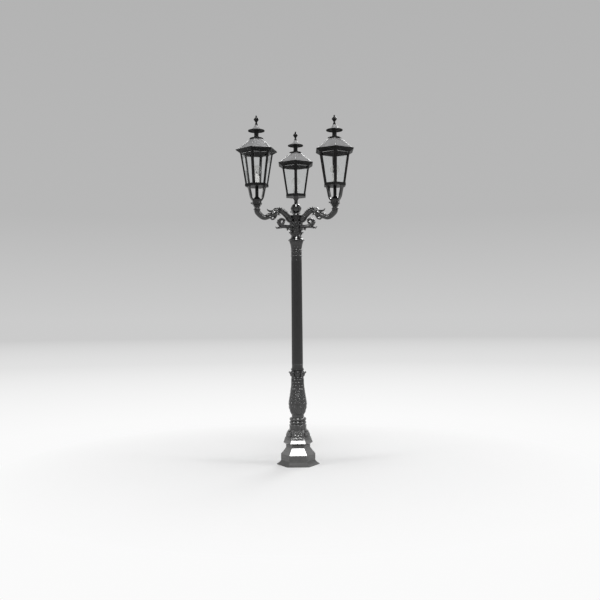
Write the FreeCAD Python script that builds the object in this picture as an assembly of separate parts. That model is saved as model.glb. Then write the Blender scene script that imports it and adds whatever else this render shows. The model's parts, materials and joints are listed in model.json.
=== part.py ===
import FreeCAD
import Part
import math
import os

# Pedestal: a hexagonal hollow casting, radii to its corners
skirt_radius = 214.0
skirt_height = 42.0
skirt_lip = 8.0
skirt_hollow = 5.0
plinth_radius = 171.0
plinth_height = 65.0
shoulder_height = 63.0
waist_radius = 120.0
waist_height = 30.0
cornice_radius = 147.0
cornice_rise = 20.0
bevel_radius = 136.0
bevel_height = 25.0
flare_height = 100.0
flare_top_radius = 93.0
casting_wall = 10.0
anchor_flange = 14.0
anchor_opening = 90.0
anchor_circle = 240.0
anchor_hole = 14.0
anchor_count = 6

# Joints between the stacked castings
spigot_wall = 10.0
spigot_length = 25.0
spigot_clearance = 0.3
cable_bore = 35.0

# Vase: drum, two rings, neck and the leaf-covered vase
drum_radius = 82.0
drum_height = 57.0
ring_radius = 84.0
ring_core = 71.0
ring_height = 33.0
vase_neck_radius = 61.0
vase_neck_height = 28.0
vase_foot_radius = 65.0
belly_radius = 91.0
belly_height = 112.0
waning_radius = 67.5
waning_height = 255.0
vase_top_radius = 60.5
vase_height = 367.0
leaf_relief = 4.0
vase_leaf_width = 62.0
vase_leaf_height = 190.0
vase_leaf_shoulder = 72.0
vase_leaf_foot_bow = 12.0
vase_leaf_tip_bow = 5.0
vase_leaf_base = 8.5
vase_tier_rise = 137.0
vase_leaf_count = 6

# Crown of pointed leaves on the vase
crown_core_radius = 60.0
crown_ring_radius = 65.0
crown_ring_height = 22.0
crown_ring_chamfer = 5.5
crown_height = 98.0
crown_leaf_reach = 90.0
crown_leaf_blunt = 0.5
crown_leaf_root = 12.0
crown_leaf_rise = 47.0
crown_leaf_width = 44.0
crown_leaf_thickness = 14.0
crown_leaf_bow = 6.0
crown_leaf_count = 8

# Fluted shaft, tapering upwards
shaft_foot_radius = 56.0
shaft_top_radius = 52.5
shaft_length = 1111.0
flute_count = 16
flute_radius = 7.5
flute_depth = 4.0
flute_margin = 40.0

# Capital under the arms
capital_core = 50.0
bead_radius = 58.0
bead_height = 16.0
bead_gap = 44.0
bell_height = 82.0
bell_radius = 69.0
bell_hollow = 4.0
abacus_radius = 82.0
abacus_height = 20.0
abacus_edge = 8.0
abacus_round = 3.0

# Hub that carries the arms and scrolls
hub_foot_radius = 63.0
hub_foot_height = 50.0
hub_foot_hollow = 4.0
hub_radius = 49.0
hub_height = 170.0
hub_plate_radius = 73.0
hub_plate_height = 12.0
pad_reach = 54.0
pad_width = 50.0
pad_margin = 8.0
spur_path = [(41.0, 30.0), (62.0, 18.0), (80.0, 12.0)]
spur_radii = [12.0, 9.0, 4.0]

# Ball on the hub
ball_neck_radius = 40.0
ball_waist_radius = 28.0
ball_neck_height = 20.0
ball_neck_hollow = 2.0
ball_radius = 52.0
ball_band_radius = 54.0
ball_band_height = 14.0

# Arms: distances from the post's axis and heights above the arm's seat
arm_directions = {"right": -30.0, "left": 210.0, "rear": 90.0}
arm_reach = 438.0
arm_seat = 130.0
arm_flange = 10.0
arm_flange_height = 62.0
shoulder_reach = 102.0
shoulder_rise = 42.0
crest_reach = 184.0
crest_rise = 91.0
mouth_reach = 270.0
mouth_rise = 45.0
belly_reach = 356.0
arm_belly_rise = 14.0
elbow_inset = 13.0
elbow_rise = 54.0
socket_rise = 84.0
arch_radii = [29.0, 28.0, 26.0, 31.0, 26.0]
pipe_radii = [20.0, 23.0, 25.0, 28.0, 29.0]
socket_radius = 35.0
socket_height = 48.0
socket_bead = 10.0
socket_groove = 3.0
socket_band = 16.0

# Dolphin head at the arm's mouth: curves and places measured from the mouth
upper_jaw_path = [(-32.0, 38.0), (16.0, 33.0), (58.0, 54.0)]
upper_jaw_radii = [21.0, 13.0, 4.0]
lower_jaw_path = [(-38.0, 0.0), (-24.0, -32.0), (2.0, -46.0), (24.0, -30.0)]
lower_jaw_radii = [14.0, 9.0, 8.0, 5.0]
eye_place = (-30.0, 23.0, 40.0)
eye_radius = 9.0

# Studs that hold the arms and scrolls
stud_radius = 6.0
stud_grip = 12.0
nut_width = 18.0
nut_height = 10.0

# Scrolls under the arms: distances from the axis, heights above the scroll's seat
scroll_seat = 72.0
scroll_flange = 10.0
scroll_flange_height = 50.0
scroll_path = [(114.0, -4.0), (166.0, 3.0), (197.0, 33.0), (172.0, 67.0), (137.0, 58.0), (146.0, 33.0)]
scroll_radii = [18.0, 22.0, 23.0, 16.0, 9.0]
scroll_leaf_path = [(137.0, -4.0), (198.0, -16.0), (238.0, -13.0)]
scroll_leaf_radii = [18.0, 11.0, 4.0]
bud_radius = 13.0
bud_reach = 98.0
bud_drop = 25.0

# Lantern cradle on the arm's spigot
lantern_turns = {"right": 0.0, "left": -13.0, "rear": 0.0}
hinge_turns = {"right": 0.0, "left": 180.0, "rear": -60.0}
spigot_radius = 24.5
spigot_height = 48.0
collar_fit = 0.3
collar_radius = 44.0
collar_height = 50.0
collar_lip = 2.5
collar_lip_height = 9.0
boss_height = 28.0
cradle_height = 176.0
bracket_top_reach = 78.0
bracket_low_reach = 60.0
bracket_low_height = 88.0
bracket_thickness = 20.0
bracket_bow = 6.0
bracket_width = 36.0
bracket_top_width = 68.0
bracket_flare = 36.0
bracket_flare_hollow = 4.0
set_screw_radius = 5.0
set_screw_head = 7.5
set_screw_head_length = 17.0
set_screw_count = 3
stem_radius = 16.0
stem_wall = 3.0

# Lantern body: hexagon radii to the corners
pan_radius = 118.0
pan_height = 26.0
pan_floor = 5.0
pan_rim = 18.0
glazing_foot_radius = 114.3
glazing_top_radius = 163.4
glazing_height = 291.0
bar_leg = 17.0
bar_thickness = 6.0
pane_thickness = 4.0
pane_clearance = 0.3
rail_height = 8.0
rail_width = 22.0
rail_flare = 9.2

# Lampholder and bulb
holder_radius = 27.0
holder_base_radius = 31.0
holder_base_height = 8.0
holder_height = 100.0
holder_wire_hole = 6.5
socket_depth = 24.0
bulb_cap_radius = 13.0
bulb_cap_clearance = 0.3
bulb_neck_radius = 17.0
bulb_neck_height = 18.0
bulb_radius = 44.0

# Hood on the lantern
hood_gap = 0.3
eave_radius = 207.0
eave_rise = 20.0
fascia_height = 7.0
cornice_wall = 9.0
roof_foot_radius = 180.0
roof_top_radius = 60.0
roof_height = 110.0
roof_wall = 4.9
hip_radius = 4.0
vent_plate_radius = 66.5
vent_plate_height = 10.0
vent_bore = 14.0
spool_radius = 29.5
spool_waist = 21.5
spool_height = 68.0
brim_radius = 80.5
brim_height = 7.0
brim_recess = 4.0
hat_height = 70.0
hat_hollow = 17.0
hat_tip_radius = 10.5
finial_neck_radius = 8.0
finial_neck_height = 8.0
finial_knob_radius = 25.0
finial_knob_rise = 36.0
finial_knob_round = 4.0
finial_height = 76.0

# Lid hinge
knuckle_radius = 7.0
knuckle_length = 18.0
knuckle_gap = 0.4
pin_radius = 3.0
pin_fit = 0.05

COS30 = math.cos(math.radians(30.0))
TAN30 = math.tan(math.radians(30.0))
UP = FreeCAD.Vector(0, 0, 1)
AXIS = FreeCAD.Vector(0, 0, 0)
VIA = "via"
BOW = "bow"

# Heights of the stacked castings
plinth_z = skirt_height
shoulder_z = plinth_z + plinth_height
waist_z = shoulder_z + shoulder_height
cornice_z = waist_z + waist_height
bevel_z = cornice_z + cornice_rise
flare_z = bevel_z + bevel_height
drum_z = flare_z + flare_height
rings_z = drum_z + drum_height
vase_neck_z = rings_z + 2 * ring_height
vase_z = vase_neck_z + vase_neck_height
crown_z = vase_z + vase_height
shaft_z = crown_z + crown_height
capital_z = shaft_z + shaft_length
bell_z = capital_z + 2 * bead_height + bead_gap
abacus_z = bell_z + bell_height
hub_z = abacus_z + abacus_height
core_z = hub_z + hub_foot_height
plate_z = core_z + hub_height
ball_z = plate_z + hub_plate_height
arm_z = core_z + arm_seat
scroll_z = core_z + scroll_seat
socket_z = arm_z + socket_rise
collar_z = socket_z + socket_height + collar_fit
pan_z = collar_z + cradle_height
glazing_z = pan_z + pan_height
rail_z = glazing_z + glazing_height
hood_z = rail_z + rail_height + hood_gap
roof_z = hood_z + eave_rise + fascia_height
vent_z = roof_z + roof_height
spool_z = vent_z + vent_plate_height
hat_z = spool_z + spool_height
finial_z = hat_z + brim_height + hat_height

spigot_outer = cable_bore + spigot_wall


def flat(corner_radius):
    return corner_radius * COS30


def joined(solids):
    return solids[0].multiFuse(solids[1:]).removeSplitter()


def around(shape, count, start=0.0):
    copies = []
    for index in range(count):
        copy = shape.copy()
        copy.rotate(AXIS, UP, start + index * 360.0 / count)
        copies.append(copy)
    return copies


# Closed outline in the XZ plane: a BOW step or one VIA point makes an arc, several VIA points a curve
def outline(steps):
    edges = []
    passed = []
    here = None
    depth = 0.0
    for step in list(steps) + [steps[0]]:
        if step[0] == BOW:
            depth = step[1]
            continue
        there = FreeCAD.Vector(step[0], 0, step[1])
        if VIA in step:
            passed.append(there)
            continue
        if depth:
            passed = [bowed(here, there, depth)]
        if here is not None:
            edges.append(stretch(here, passed, there))
        here = there
        passed = []
        depth = 0.0
    return Part.Face(Part.Wire(edges))


def bowed(here, there, depth):
    run = there - here
    left = FreeCAD.Vector(-run.z, 0, run.x).normalize()
    return (here + there) * 0.5 + left * depth


def stretch(here, passed, there):
    if not passed:
        return Part.LineSegment(here, there).toShape()
    if len(passed) == 1:
        return Part.Arc(here, passed[0], there).toShape()
    curve = Part.BSplineCurve()
    curve.interpolate([here] + passed + [there])
    return curve.toShape()


def turned(steps):
    return outline(steps).revolve(AXIS, UP, 360.0)


# Six mitred sides; the outline gives the distance to a flat, and the corners point along X
def hexagonal(steps):
    points = [step for step in steps if step[0] != BOW]
    reach = max(point[0] for point in points)
    low = min(point[1] for point in points)
    high = max(point[1] for point in points)
    slab = outline(steps).extrude(FreeCAD.Vector(0, 2 * reach, 0))
    slab.translate(FreeCAD.Vector(0, -reach, 0))
    far = 1.5 * reach
    corners = [(0, 0), (far, -far * TAN30), (far, far * TAN30), (0, 0)]
    wedge = Part.Face(Part.makePolygon([FreeCAD.Vector(x, y, low) for x, y in corners]))
    side = slab.common(wedge.extrude(UP * (high - low)))
    return joined(around(side, 6, 30.0))


def hexagon_points(radius, z):
    angles = [math.radians(60 * index) for index in range(7)]
    return [FreeCAD.Vector(radius * math.cos(a), radius * math.sin(a), z) for a in angles]


def hexagon_wire(radius, z):
    return Part.makePolygon(hexagon_points(radius, z))


# A circle cut into six arcs, so that each meets one side of a hexagon
def six_arc_wire(radius, z):
    edges = [
        Part.makeCircle(radius, UP * z, UP, 60.0 * index, 60.0 * (index + 1))
        for index in range(6)
    ]
    return Part.Wire(edges)


# A limb in the XZ plane: round sections across a curve, their radius blended along it
def limb(path, radii, sections=9):
    curve = Part.BSplineCurve()
    curve.interpolate([FreeCAD.Vector(x, 0, z) for x, z in path])
    first, last = curve.FirstParameter, curve.LastParameter
    wires = []
    for index in range(sections):
        share = index / (sections - 1)
        parameter = first + (last - first) * share
        tangent = curve.tangent(parameter)[0]
        lean = math.degrees(math.atan2(tangent.x, tangent.z))
        wire = Part.Wire(Part.makeCircle(blended(radii, share)))
        wire.rotate(AXIS, FreeCAD.Vector(0, 1, 0), lean)
        wire.translate(curve.value(parameter))
        wires.append(wire)
    return Part.makeLoft(wires, True)


def blended(values, share):
    spot = share * (len(values) - 1)
    index = min(int(spot), len(values) - 2)
    part = spot - index
    return values[index] * (1 - part) + values[index + 1] * part


def block(low, high):
    size = [b - a for a, b in zip(low, high)]
    return Part.makeBox(*size, FreeCAD.Vector(*low))


def rod(radius, start, end):
    run = FreeCAD.Vector(*end) - FreeCAD.Vector(*start)
    return Part.makeCylinder(radius, run.Length, FreeCAD.Vector(*start), run)


def pedestal():
    body = hexagonal([
        (0, 0),
        (flat(skirt_radius), 0),
        (flat(skirt_radius), skirt_lip),
        (BOW, skirt_hollow),
        (flat(plinth_radius), plinth_z),
        (flat(plinth_radius), shoulder_z),
        (flat(waist_radius), waist_z),
        (flat(waist_radius), cornice_z),
        (flat(cornice_radius), bevel_z),
        (flat(bevel_radius), flare_z),
        (0, flare_z),
    ])
    flare = Part.makeLoft(
        [hexagon_wire(bevel_radius, flare_z), six_arc_wire(flare_top_radius, drum_z)], True, True
    )
    seat = spigot_outer + spigot_clearance
    inner_plinth = flat(plinth_radius) - casting_wall
    inner_waist = flat(waist_radius) - casting_wall
    cavity = hexagonal([
        (0, anchor_flange),
        (inner_plinth, anchor_flange),
        (inner_plinth, shoulder_z - casting_wall / 2),
        (inner_waist, waist_z - casting_wall / 2),
        (inner_waist, flare_z),
        (0, flare_z),
    ])
    throat = Part.makeCone(inner_waist, seat, flare_height - spigot_length, UP * flare_z)
    mouth = Part.makeCylinder(seat, flare_height + casting_wall, UP * flare_z)
    entry = Part.makeCylinder(anchor_opening, 2 * anchor_flange, UP * -anchor_flange)
    hole = rod(anchor_hole / 2, (anchor_circle / 2, 0, -1), (anchor_circle / 2, 0, anchor_flange + 1))
    holes = around(hole, anchor_count, 30.0)
    return joined([body, flare]).cut([cavity, throat, mouth, entry] + holes)


# The vase's own curve, moved outwards for the raised leaves
def vase_curve(offset):
    return [
        (vase_foot_radius + offset, vase_z),
        (belly_radius + offset, vase_z + belly_height, VIA),
        (waning_radius + offset, vase_z + waning_height, VIA),
        (vase_top_radius + offset, vase_z + vase_height),
    ]


def vase():
    rings = []
    for index in range(2):
        low = rings_z + index * ring_height
        rings += [(ring_core, low), (ring_radius, low + ring_height / 2, VIA)]
    body = turned([
        (cable_bore, drum_z - spigot_length),
        (spigot_outer, drum_z - spigot_length),
        (spigot_outer, drum_z),
        (drum_radius, drum_z),
        (drum_radius, rings_z),
        *rings,
        (ring_core, vase_neck_z),
        (vase_neck_radius, vase_neck_z),
        (vase_neck_radius, vase_z),
        *vase_curve(0),
        (cable_bore, vase_z + vase_height),
    ])
    shell = turned([(cable_bore, vase_z), *vase_curve(leaf_relief), (cable_bore, vase_z + vase_height)])
    lower = leaf_prism(vase_z + vase_leaf_base)
    upper = leaf_prism(vase_z + vase_leaf_base + vase_tier_rise)
    half_step = 180.0 / vase_leaf_count
    leaves = around(shell.common(lower), vase_leaf_count, half_step)
    leaves += around(shell.common(upper), vase_leaf_count)
    return joined([body] + leaves)


# A pointed leaf outline looking along X, run outwards from the axis
def leaf_prism(low):
    half = vase_leaf_width / 2
    shoulder = low + vase_leaf_shoulder
    face = outline([
        (0, low),
        (BOW, -vase_leaf_foot_bow),
        (half, shoulder),
        (BOW, -vase_leaf_tip_bow),
        (0, low + vase_leaf_height),
        (BOW, -vase_leaf_tip_bow),
        (-half, shoulder),
        (BOW, -vase_leaf_foot_bow),
    ])
    face.rotate(AXIS, UP, 90.0)
    return face.extrude(FreeCAD.Vector(belly_radius * 2, 0, 0))


def leaf_crown():
    core = turned([
        (cable_bore, crown_z),
        (crown_core_radius, crown_z),
        (crown_core_radius, shaft_z - crown_ring_height),
        (crown_ring_radius, shaft_z - crown_ring_height + crown_ring_chamfer),
        (crown_ring_radius, shaft_z),
        (cable_bore, shaft_z),
    ])
    low = crown_z + crown_leaf_root
    tip = low + crown_leaf_rise
    root = cable_bore + spigot_wall
    half = crown_leaf_width / 2
    side = outline([
        (root, low),
        (crown_core_radius, low),
        (BOW, crown_leaf_bow),
        (crown_leaf_reach, tip),
        (BOW, crown_leaf_bow),
        (root, tip + crown_leaf_thickness),
    ]).extrude(FreeCAD.Vector(0, crown_leaf_width, 0))
    side.translate(FreeCAD.Vector(0, -half, 0))
    plan = [
        (root, -half),
        (crown_core_radius, -half),
        (crown_leaf_reach + crown_leaf_blunt, 0),
        (crown_core_radius, half),
        (root, half),
        (root, -half),
    ]
    petal = Part.Face(Part.makePolygon([FreeCAD.Vector(x, y, low) for x, y in plan]))
    leaf = side.common(petal.extrude(UP * (crown_leaf_rise + crown_leaf_thickness)))
    return joined([core] + around(leaf, crown_leaf_count, 180.0 / crown_leaf_count))


def shaft():
    tube = Part.makeCone(shaft_foot_radius, shaft_top_radius, shaft_length, UP * shaft_z)
    bore = Part.makeCylinder(cable_bore, shaft_length, UP * shaft_z)
    ends = []
    for rise in (flute_margin, shaft_length - flute_margin):
        surface = blended((shaft_foot_radius, shaft_top_radius), rise / shaft_length)
        ends.append((surface - flute_depth + flute_radius, 0, shaft_z + rise))
    rounds = [Part.makeSphere(flute_radius, FreeCAD.Vector(*end)) for end in ends]
    groove = joined([rod(flute_radius, *ends)] + rounds)
    return tube.cut([bore] + around(groove, flute_count, 180.0 / flute_count))


def capital():
    beads = []
    for index in range(2):
        low = capital_z + index * (bead_height + bead_gap)
        beads += [(capital_core, low), (bead_radius, low + bead_height / 2, VIA), (capital_core, low + bead_height)]
    return turned([
        (cable_bore, capital_z),
        *beads,
        (BOW, bell_hollow),
        (bell_radius, abacus_z),
        (abacus_radius, abacus_z),
        (abacus_radius, abacus_z + abacus_edge),
        (BOW, -abacus_round),
        (hub_foot_radius, hub_z),
        (cable_bore, hub_z),
    ])


def crown_hub():
    core = turned([
        (cable_bore, hub_z),
        (hub_foot_radius, hub_z),
        (BOW, hub_foot_hollow),
        (hub_radius, core_z),
        (hub_radius, plate_z),
        (hub_plate_radius, plate_z),
        (hub_plate_radius, ball_z),
        (cable_bore, ball_z),
    ])
    low = scroll_z - scroll_flange_height / 2 - pad_margin
    high = arm_z + arm_flange_height / 2 + pad_margin
    pad = block((cable_bore, -pad_width / 2, low), (pad_reach, pad_width / 2, high))
    spur = limb([(x, core_z + rise) for x, rise in spur_path], spur_radii, 5)
    drills = []
    for seat in (arm_z, scroll_z):
        drills.append(rod(stud_radius, (0, 0, seat), (pad_reach + stud_grip, 0, seat)))
    bore = Part.makeCylinder(cable_bore, ball_z - hub_z, UP * hub_z)
    hub = joined([core] + [turn(piece, side) for piece in (pad, spur) for side in arm_directions.values()])
    holes = [turn(drill, side) for drill in drills for side in arm_directions.values()]
    return hub.cut([bore] + holes)


def turn(shape, direction):
    copy = shape.copy()
    copy.rotate(AXIS, UP, direction)
    return copy


def ball_finial():
    centre = ball_z + ball_neck_height + ball_radius
    half_band = ball_band_height / 2
    ball_at_band = math.sqrt(ball_radius ** 2 - half_band ** 2)
    ball_at_waist = math.sqrt(ball_radius ** 2 - ball_waist_radius ** 2)
    slant = math.sqrt(0.5) * ball_radius
    return turned([
        (0, ball_z),
        (ball_neck_radius, ball_z),
        (BOW, ball_neck_hollow),
        (ball_waist_radius, centre - ball_at_waist),
        (slant, centre - slant, VIA),
        (ball_at_band, centre - half_band),
        (ball_band_radius, centre - half_band),
        (ball_band_radius, centre + half_band),
        (ball_at_band, centre + half_band),
        (slant, centre + slant, VIA),
        (0, centre + ball_radius),
    ])


# The arm's curves in its own plane, X outwards from the post
def arm():
    mouth = (mouth_reach, arm_z + mouth_rise)
    flange = block(
        (pad_reach, -pad_width / 2, arm_z - arm_flange_height / 2),
        (pad_reach + arm_flange, pad_width / 2, arm_z + arm_flange_height / 2),
    )
    arch = limb(
        [
            (pad_reach + arm_flange / 2, arm_z),
            (shoulder_reach, arm_z + shoulder_rise),
            (crest_reach, arm_z + crest_rise),
            mouth,
        ],
        arch_radii,
    )
    pipe = limb(
        [
            (mouth[0] - pipe_radii[0], mouth[1] + pipe_radii[0] / 2),
            (belly_reach, arm_z + arm_belly_rise),
            (arm_reach - elbow_inset, arm_z + elbow_rise),
            (arm_reach, socket_z),
        ],
        pipe_radii,
        11,
    )
    body = joined([flange, arch, pipe, arm_socket()] + dolphin_head(*mouth))
    stud_hole = rod(stud_radius, (pad_reach, 0, arm_z), (pad_reach + stud_grip, 0, arm_z))
    under_plate = Part.makeCylinder(
        hub_plate_radius + spigot_clearance, hub_plate_height * 2, UP * (plate_z - spigot_clearance)
    )
    return body.cut([stud_hole, behind(pad_reach, arm_z), under_plate])


# Jaws and eyes of the traditional dolphin that holds the pipe in its mouth
def dolphin_head(mouth_x, mouth_z):
    forms = []
    for path, radii in ((upper_jaw_path, upper_jaw_radii), (lower_jaw_path, lower_jaw_radii)):
        forms.append(limb([(mouth_x + x, mouth_z + z) for x, z in path], radii, 7))
    for side in (1, -1):
        place = (mouth_x + eye_place[0], side * eye_place[1], mouth_z + eye_place[2])
        forms.append(Part.makeSphere(eye_radius, FreeCAD.Vector(*place)))
    return forms


# Ringed end of the arm with the spigot that carries the lantern
def arm_socket():
    end = pipe_radii[-1]
    top_z = socket_z + socket_height
    band_z = top_z - socket_band
    socket = turned([
        (0, socket_z),
        (end, socket_z),
        (socket_radius, socket_z + socket_bead / 2, VIA),
        (end, socket_z + socket_bead),
        (end - socket_groove, band_z - socket_groove),
        (socket_radius, band_z),
        (socket_radius, top_z),
        (spigot_radius, top_z),
        (spigot_radius, top_z + spigot_height),
        (0, top_z + spigot_height),
    ])
    socket.translate(FreeCAD.Vector(arm_reach, 0, 0))
    return socket


# Space of the hub's pad, which a limb's rounded end must not enter
def behind(reach, z):
    return block((reach - casting_wall * 4, -reach, z - reach), (reach, reach, z + reach))


def scroll():
    flange = block(
        (pad_reach, -pad_width / 2, scroll_z - scroll_flange_height / 2),
        (pad_reach + scroll_flange, pad_width / 2, scroll_z + scroll_flange_height / 2),
    )
    root = (pad_reach + scroll_flange / 2, scroll_z)
    band = limb([root] + [(x, scroll_z + rise) for x, rise in scroll_path], scroll_radii, 13)
    leaf = limb([(x, scroll_z + rise) for x, rise in scroll_leaf_path], scroll_leaf_radii, 5)
    bud = Part.makeSphere(bud_radius, FreeCAD.Vector(bud_reach, 0, scroll_z - bud_drop))
    stud_hole = rod(stud_radius, (pad_reach, 0, scroll_z), (pad_reach + stud_grip, 0, scroll_z))
    return joined([flange, band, leaf, bud]).cut([stud_hole, behind(pad_reach, scroll_z)])


# One stud with its nut inside the hub for each arm and each scroll
def arm_studs():
    studs = []
    for direction in arm_directions.values():
        for seat in (arm_z, scroll_z):
            end = pad_reach + stud_grip
            shank = rod(stud_radius, (cable_bore - nut_height, 0, seat), (end, 0, seat))
            nut = Part.Face(hexagon_wire(nut_width / 2 / COS30, 0)).extrude(UP * nut_height)
            nut.rotate(AXIS, FreeCAD.Vector(0, 1, 0), -90.0)
            nut_back = cable_bore - (nut_width / 2) ** 2 / cable_bore
            nut.translate(FreeCAD.Vector(nut_back, 0, seat))
            studs.append(turn(shank.fuse(nut).removeSplitter(), direction))
    return Part.makeCompound(studs)


# Lantern pieces stand on the Z axis with a corner along X, and are then placed on their arm
def cradle():
    top = collar_z + collar_height
    bore_top = collar_z + spigot_height + collar_fit
    bore = spigot_radius + collar_fit
    wire_hole = stem_radius - stem_wall
    collar = turned([
        (bore, collar_z),
        (collar_radius + collar_lip, collar_z),
        (collar_radius + collar_lip, collar_z + collar_lip_height),
        (collar_radius, collar_z + collar_lip_height + collar_lip),
        (collar_radius, top),
        (stem_radius + stem_wall, top + boss_height),
        (wire_hole, top + boss_height),
        (wire_hole, bore_top),
        (bore, bore_top),
    ])
    half = bracket_thickness / 2
    low_z = collar_z + bracket_low_height
    root = bore + half
    side = outline([
        (root, top - bracket_thickness),
        (BOW, -bracket_bow),
        (bracket_low_reach + half, low_z),
        (bracket_top_reach + half, pan_z),
        (bracket_top_reach - half, pan_z),
        (bracket_low_reach - half, low_z),
        (BOW, bracket_bow),
        (root, top + half / 2),
    ]).extrude(FreeCAD.Vector(0, bracket_top_width, 0))
    side.translate(FreeCAD.Vector(0, -bracket_top_width / 2, 0))
    flare_low = pan_z - bracket_flare
    narrow = bracket_width / 2
    wide = bracket_top_width / 2
    shield = outline([
        (narrow, collar_z),
        (narrow, flare_low),
        (BOW, bracket_flare_hollow),
        (wide, pan_z),
        (-wide, pan_z),
        (BOW, bracket_flare_hollow),
        (-narrow, flare_low),
        (-narrow, collar_z),
    ])
    shield.rotate(AXIS, UP, 90.0)
    bracket = side.common(shield.extrude(FreeCAD.Vector(bracket_top_reach * 2, 0, 0)))
    drill = rod(set_screw_radius, (0, 0, screw_z()), (collar_radius * 2, 0, screw_z()))
    body = joined([collar] + around(bracket, 2))
    return body.cut(around(drill, set_screw_count, -30.0))


def screw_z():
    return collar_z + collar_lip_height + collar_lip + set_screw_head + collar_fit


def set_screws():
    start = spigot_radius + collar_fit
    head = collar_radius + set_screw_head_length
    neck = collar_radius + set_screw_head_length / 2
    screw = joined([
        rod(set_screw_radius, (start, 0, screw_z()), (neck + set_screw_radius, 0, screw_z())),
        rod(set_screw_head, (neck, 0, screw_z()), (head, 0, screw_z())),
    ])
    return Part.makeCompound(around(screw, set_screw_count, -30.0))


def stem():
    low = collar_z + collar_height + boss_height
    tube = Part.makeCylinder(stem_radius, pan_z - low, UP * low)
    return tube.cut(Part.makeCylinder(stem_radius - stem_wall, pan_z - low, UP * low))


def pan():
    rim = flat(pan_radius) - pan_rim
    tray = hexagonal([
        (0, pan_z),
        (flat(pan_radius), pan_z),
        (flat(pan_radius), glazing_z),
        (rim, glazing_z),
        (rim, pan_z + pan_floor),
        (0, pan_z + pan_floor),
    ])
    return tray.cut(Part.makeCylinder(stem_radius - stem_wall, pan_floor, UP * pan_z))


# Angle bar folded round a corner, leaning out from the pan to the rail
def corner_bars():
    corner = FreeCAD.Vector(glazing_foot_radius, 0, glazing_z)
    along = [FreeCAD.Vector(-0.5, sign * COS30, 0) * bar_leg for sign in (1, -1)]
    inward = [FreeCAD.Vector(-COS30, -0.5 * sign, 0) * bar_thickness for sign in (1, -1)]
    crook = corner - FreeCAD.Vector(bar_thickness / COS30, 0, 0)
    points = [
        corner,
        corner + along[0],
        corner + along[0] + inward[0],
        crook,
        corner + along[1] + inward[1],
        corner + along[1],
        corner,
    ]
    lean = FreeCAD.Vector(glazing_top_radius - glazing_foot_radius, 0, glazing_height)
    bar = Part.Face(Part.makePolygon(points)).extrude(lean)
    return Part.makeCompound(around(bar, 6))


def panes():
    inset = bar_thickness + pane_clearance
    corner_gap = pane_thickness * TAN30 + pane_clearance
    corners = []
    for radius, z in (
        (glazing_foot_radius, glazing_z + pane_clearance),
        (glazing_top_radius, rail_z - pane_clearance),
    ):
        reach = flat(radius) - inset
        corners.append((reach, reach * TAN30 - corner_gap, z))
    (low_x, low_y, low_z), (high_x, high_y, high_z) = corners
    points = [
        FreeCAD.Vector(low_x, -low_y, low_z),
        FreeCAD.Vector(low_x, low_y, low_z),
        FreeCAD.Vector(high_x, high_y, high_z),
        FreeCAD.Vector(high_x, -high_y, high_z),
        FreeCAD.Vector(low_x, -low_y, low_z),
    ]
    pane = Part.Face(Part.makePolygon(points)).extrude(FreeCAD.Vector(-pane_thickness, 0, 0))
    return Part.makeCompound(around(pane, 6, 30.0))


def hinge_y():
    return flat(glazing_top_radius) + rail_flare


def hinge_z():
    return rail_z + rail_height + hood_gap / 2


# Barrel along the hinge line, on the flat that faces +Y
def barrel(radius, start, end):
    return rod(radius, (start, hinge_y(), hinge_z()), (end, hinge_y(), hinge_z()))


def knuckle_spans():
    inner = knuckle_length / 2
    outer = inner + knuckle_gap
    return (-inner, inner), [(outer, outer + knuckle_length), (-outer - knuckle_length, -outer)]


def top_rail():
    inner = flat(glazing_top_radius) - rail_width
    ring = hexagonal([
        (inner, rail_z),
        (flat(glazing_top_radius), rail_z),
        (hinge_y(), rail_z + rail_height),
        (inner, rail_z + rail_height),
    ])
    middle, ends = knuckle_spans()
    room = barrel(knuckle_radius + knuckle_gap, middle[0] - knuckle_gap, middle[1] + knuckle_gap)
    body = joined([ring.cut(room)] + [barrel(knuckle_radius, *span) for span in ends])
    return body.cut(barrel(pin_radius + pin_fit, ends[1][0], ends[0][1]))


def hinge_pin():
    _, ends = knuckle_spans()
    return barrel(pin_radius, ends[1][0], ends[0][1])


def cornice():
    inner = flat(glazing_top_radius) - rail_width
    eave_z = hood_z + eave_rise
    ring = hexagonal([
        (inner, hood_z),
        (hinge_y(), hood_z),
        (flat(eave_radius), eave_z),
        (flat(eave_radius), roof_z),
        (flat(roof_foot_radius) - cornice_wall, roof_z),
        (inner, hood_z + cornice_wall),
    ])
    middle, ends = knuckle_spans()
    rooms = [barrel(knuckle_radius + knuckle_gap, a - knuckle_gap, b + knuckle_gap) for a, b in ends]
    body = joined([ring.cut(rooms), barrel(knuckle_radius, *middle)])
    return body.cut(barrel(pin_radius + pin_fit, *middle))


def roof():
    outer = Part.makeLoft(
        [hexagon_wire(roof_foot_radius, roof_z), hexagon_wire(roof_top_radius, vent_z)], True, True
    )
    inner = Part.makeLoft(
        [hexagon_wire(roof_foot_radius - roof_wall, roof_z), hexagon_wire(roof_top_radius - roof_wall, vent_z)],
        True,
        True,
    )
    hip = rod(hip_radius, (roof_foot_radius, 0, roof_z), (roof_top_radius, 0, vent_z))
    slab = Part.makeCylinder(roof_foot_radius * 2, roof_height, UP * roof_z)
    hips = [piece.common(slab) for piece in around(hip, 6)]
    return joined([outer] + hips).cut(inner)


def vent_neck():
    edge = vent_plate_height / 2
    return turned([
        (vent_bore, vent_z),
        (vent_plate_radius - edge, vent_z),
        (vent_plate_radius, vent_z + edge, VIA),
        (vent_plate_radius - edge, spool_z),
        (spool_radius, spool_z),
        (BOW, spool_radius - spool_waist),
        (spool_radius, hat_z),
        (vent_bore, hat_z),
    ])


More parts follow.
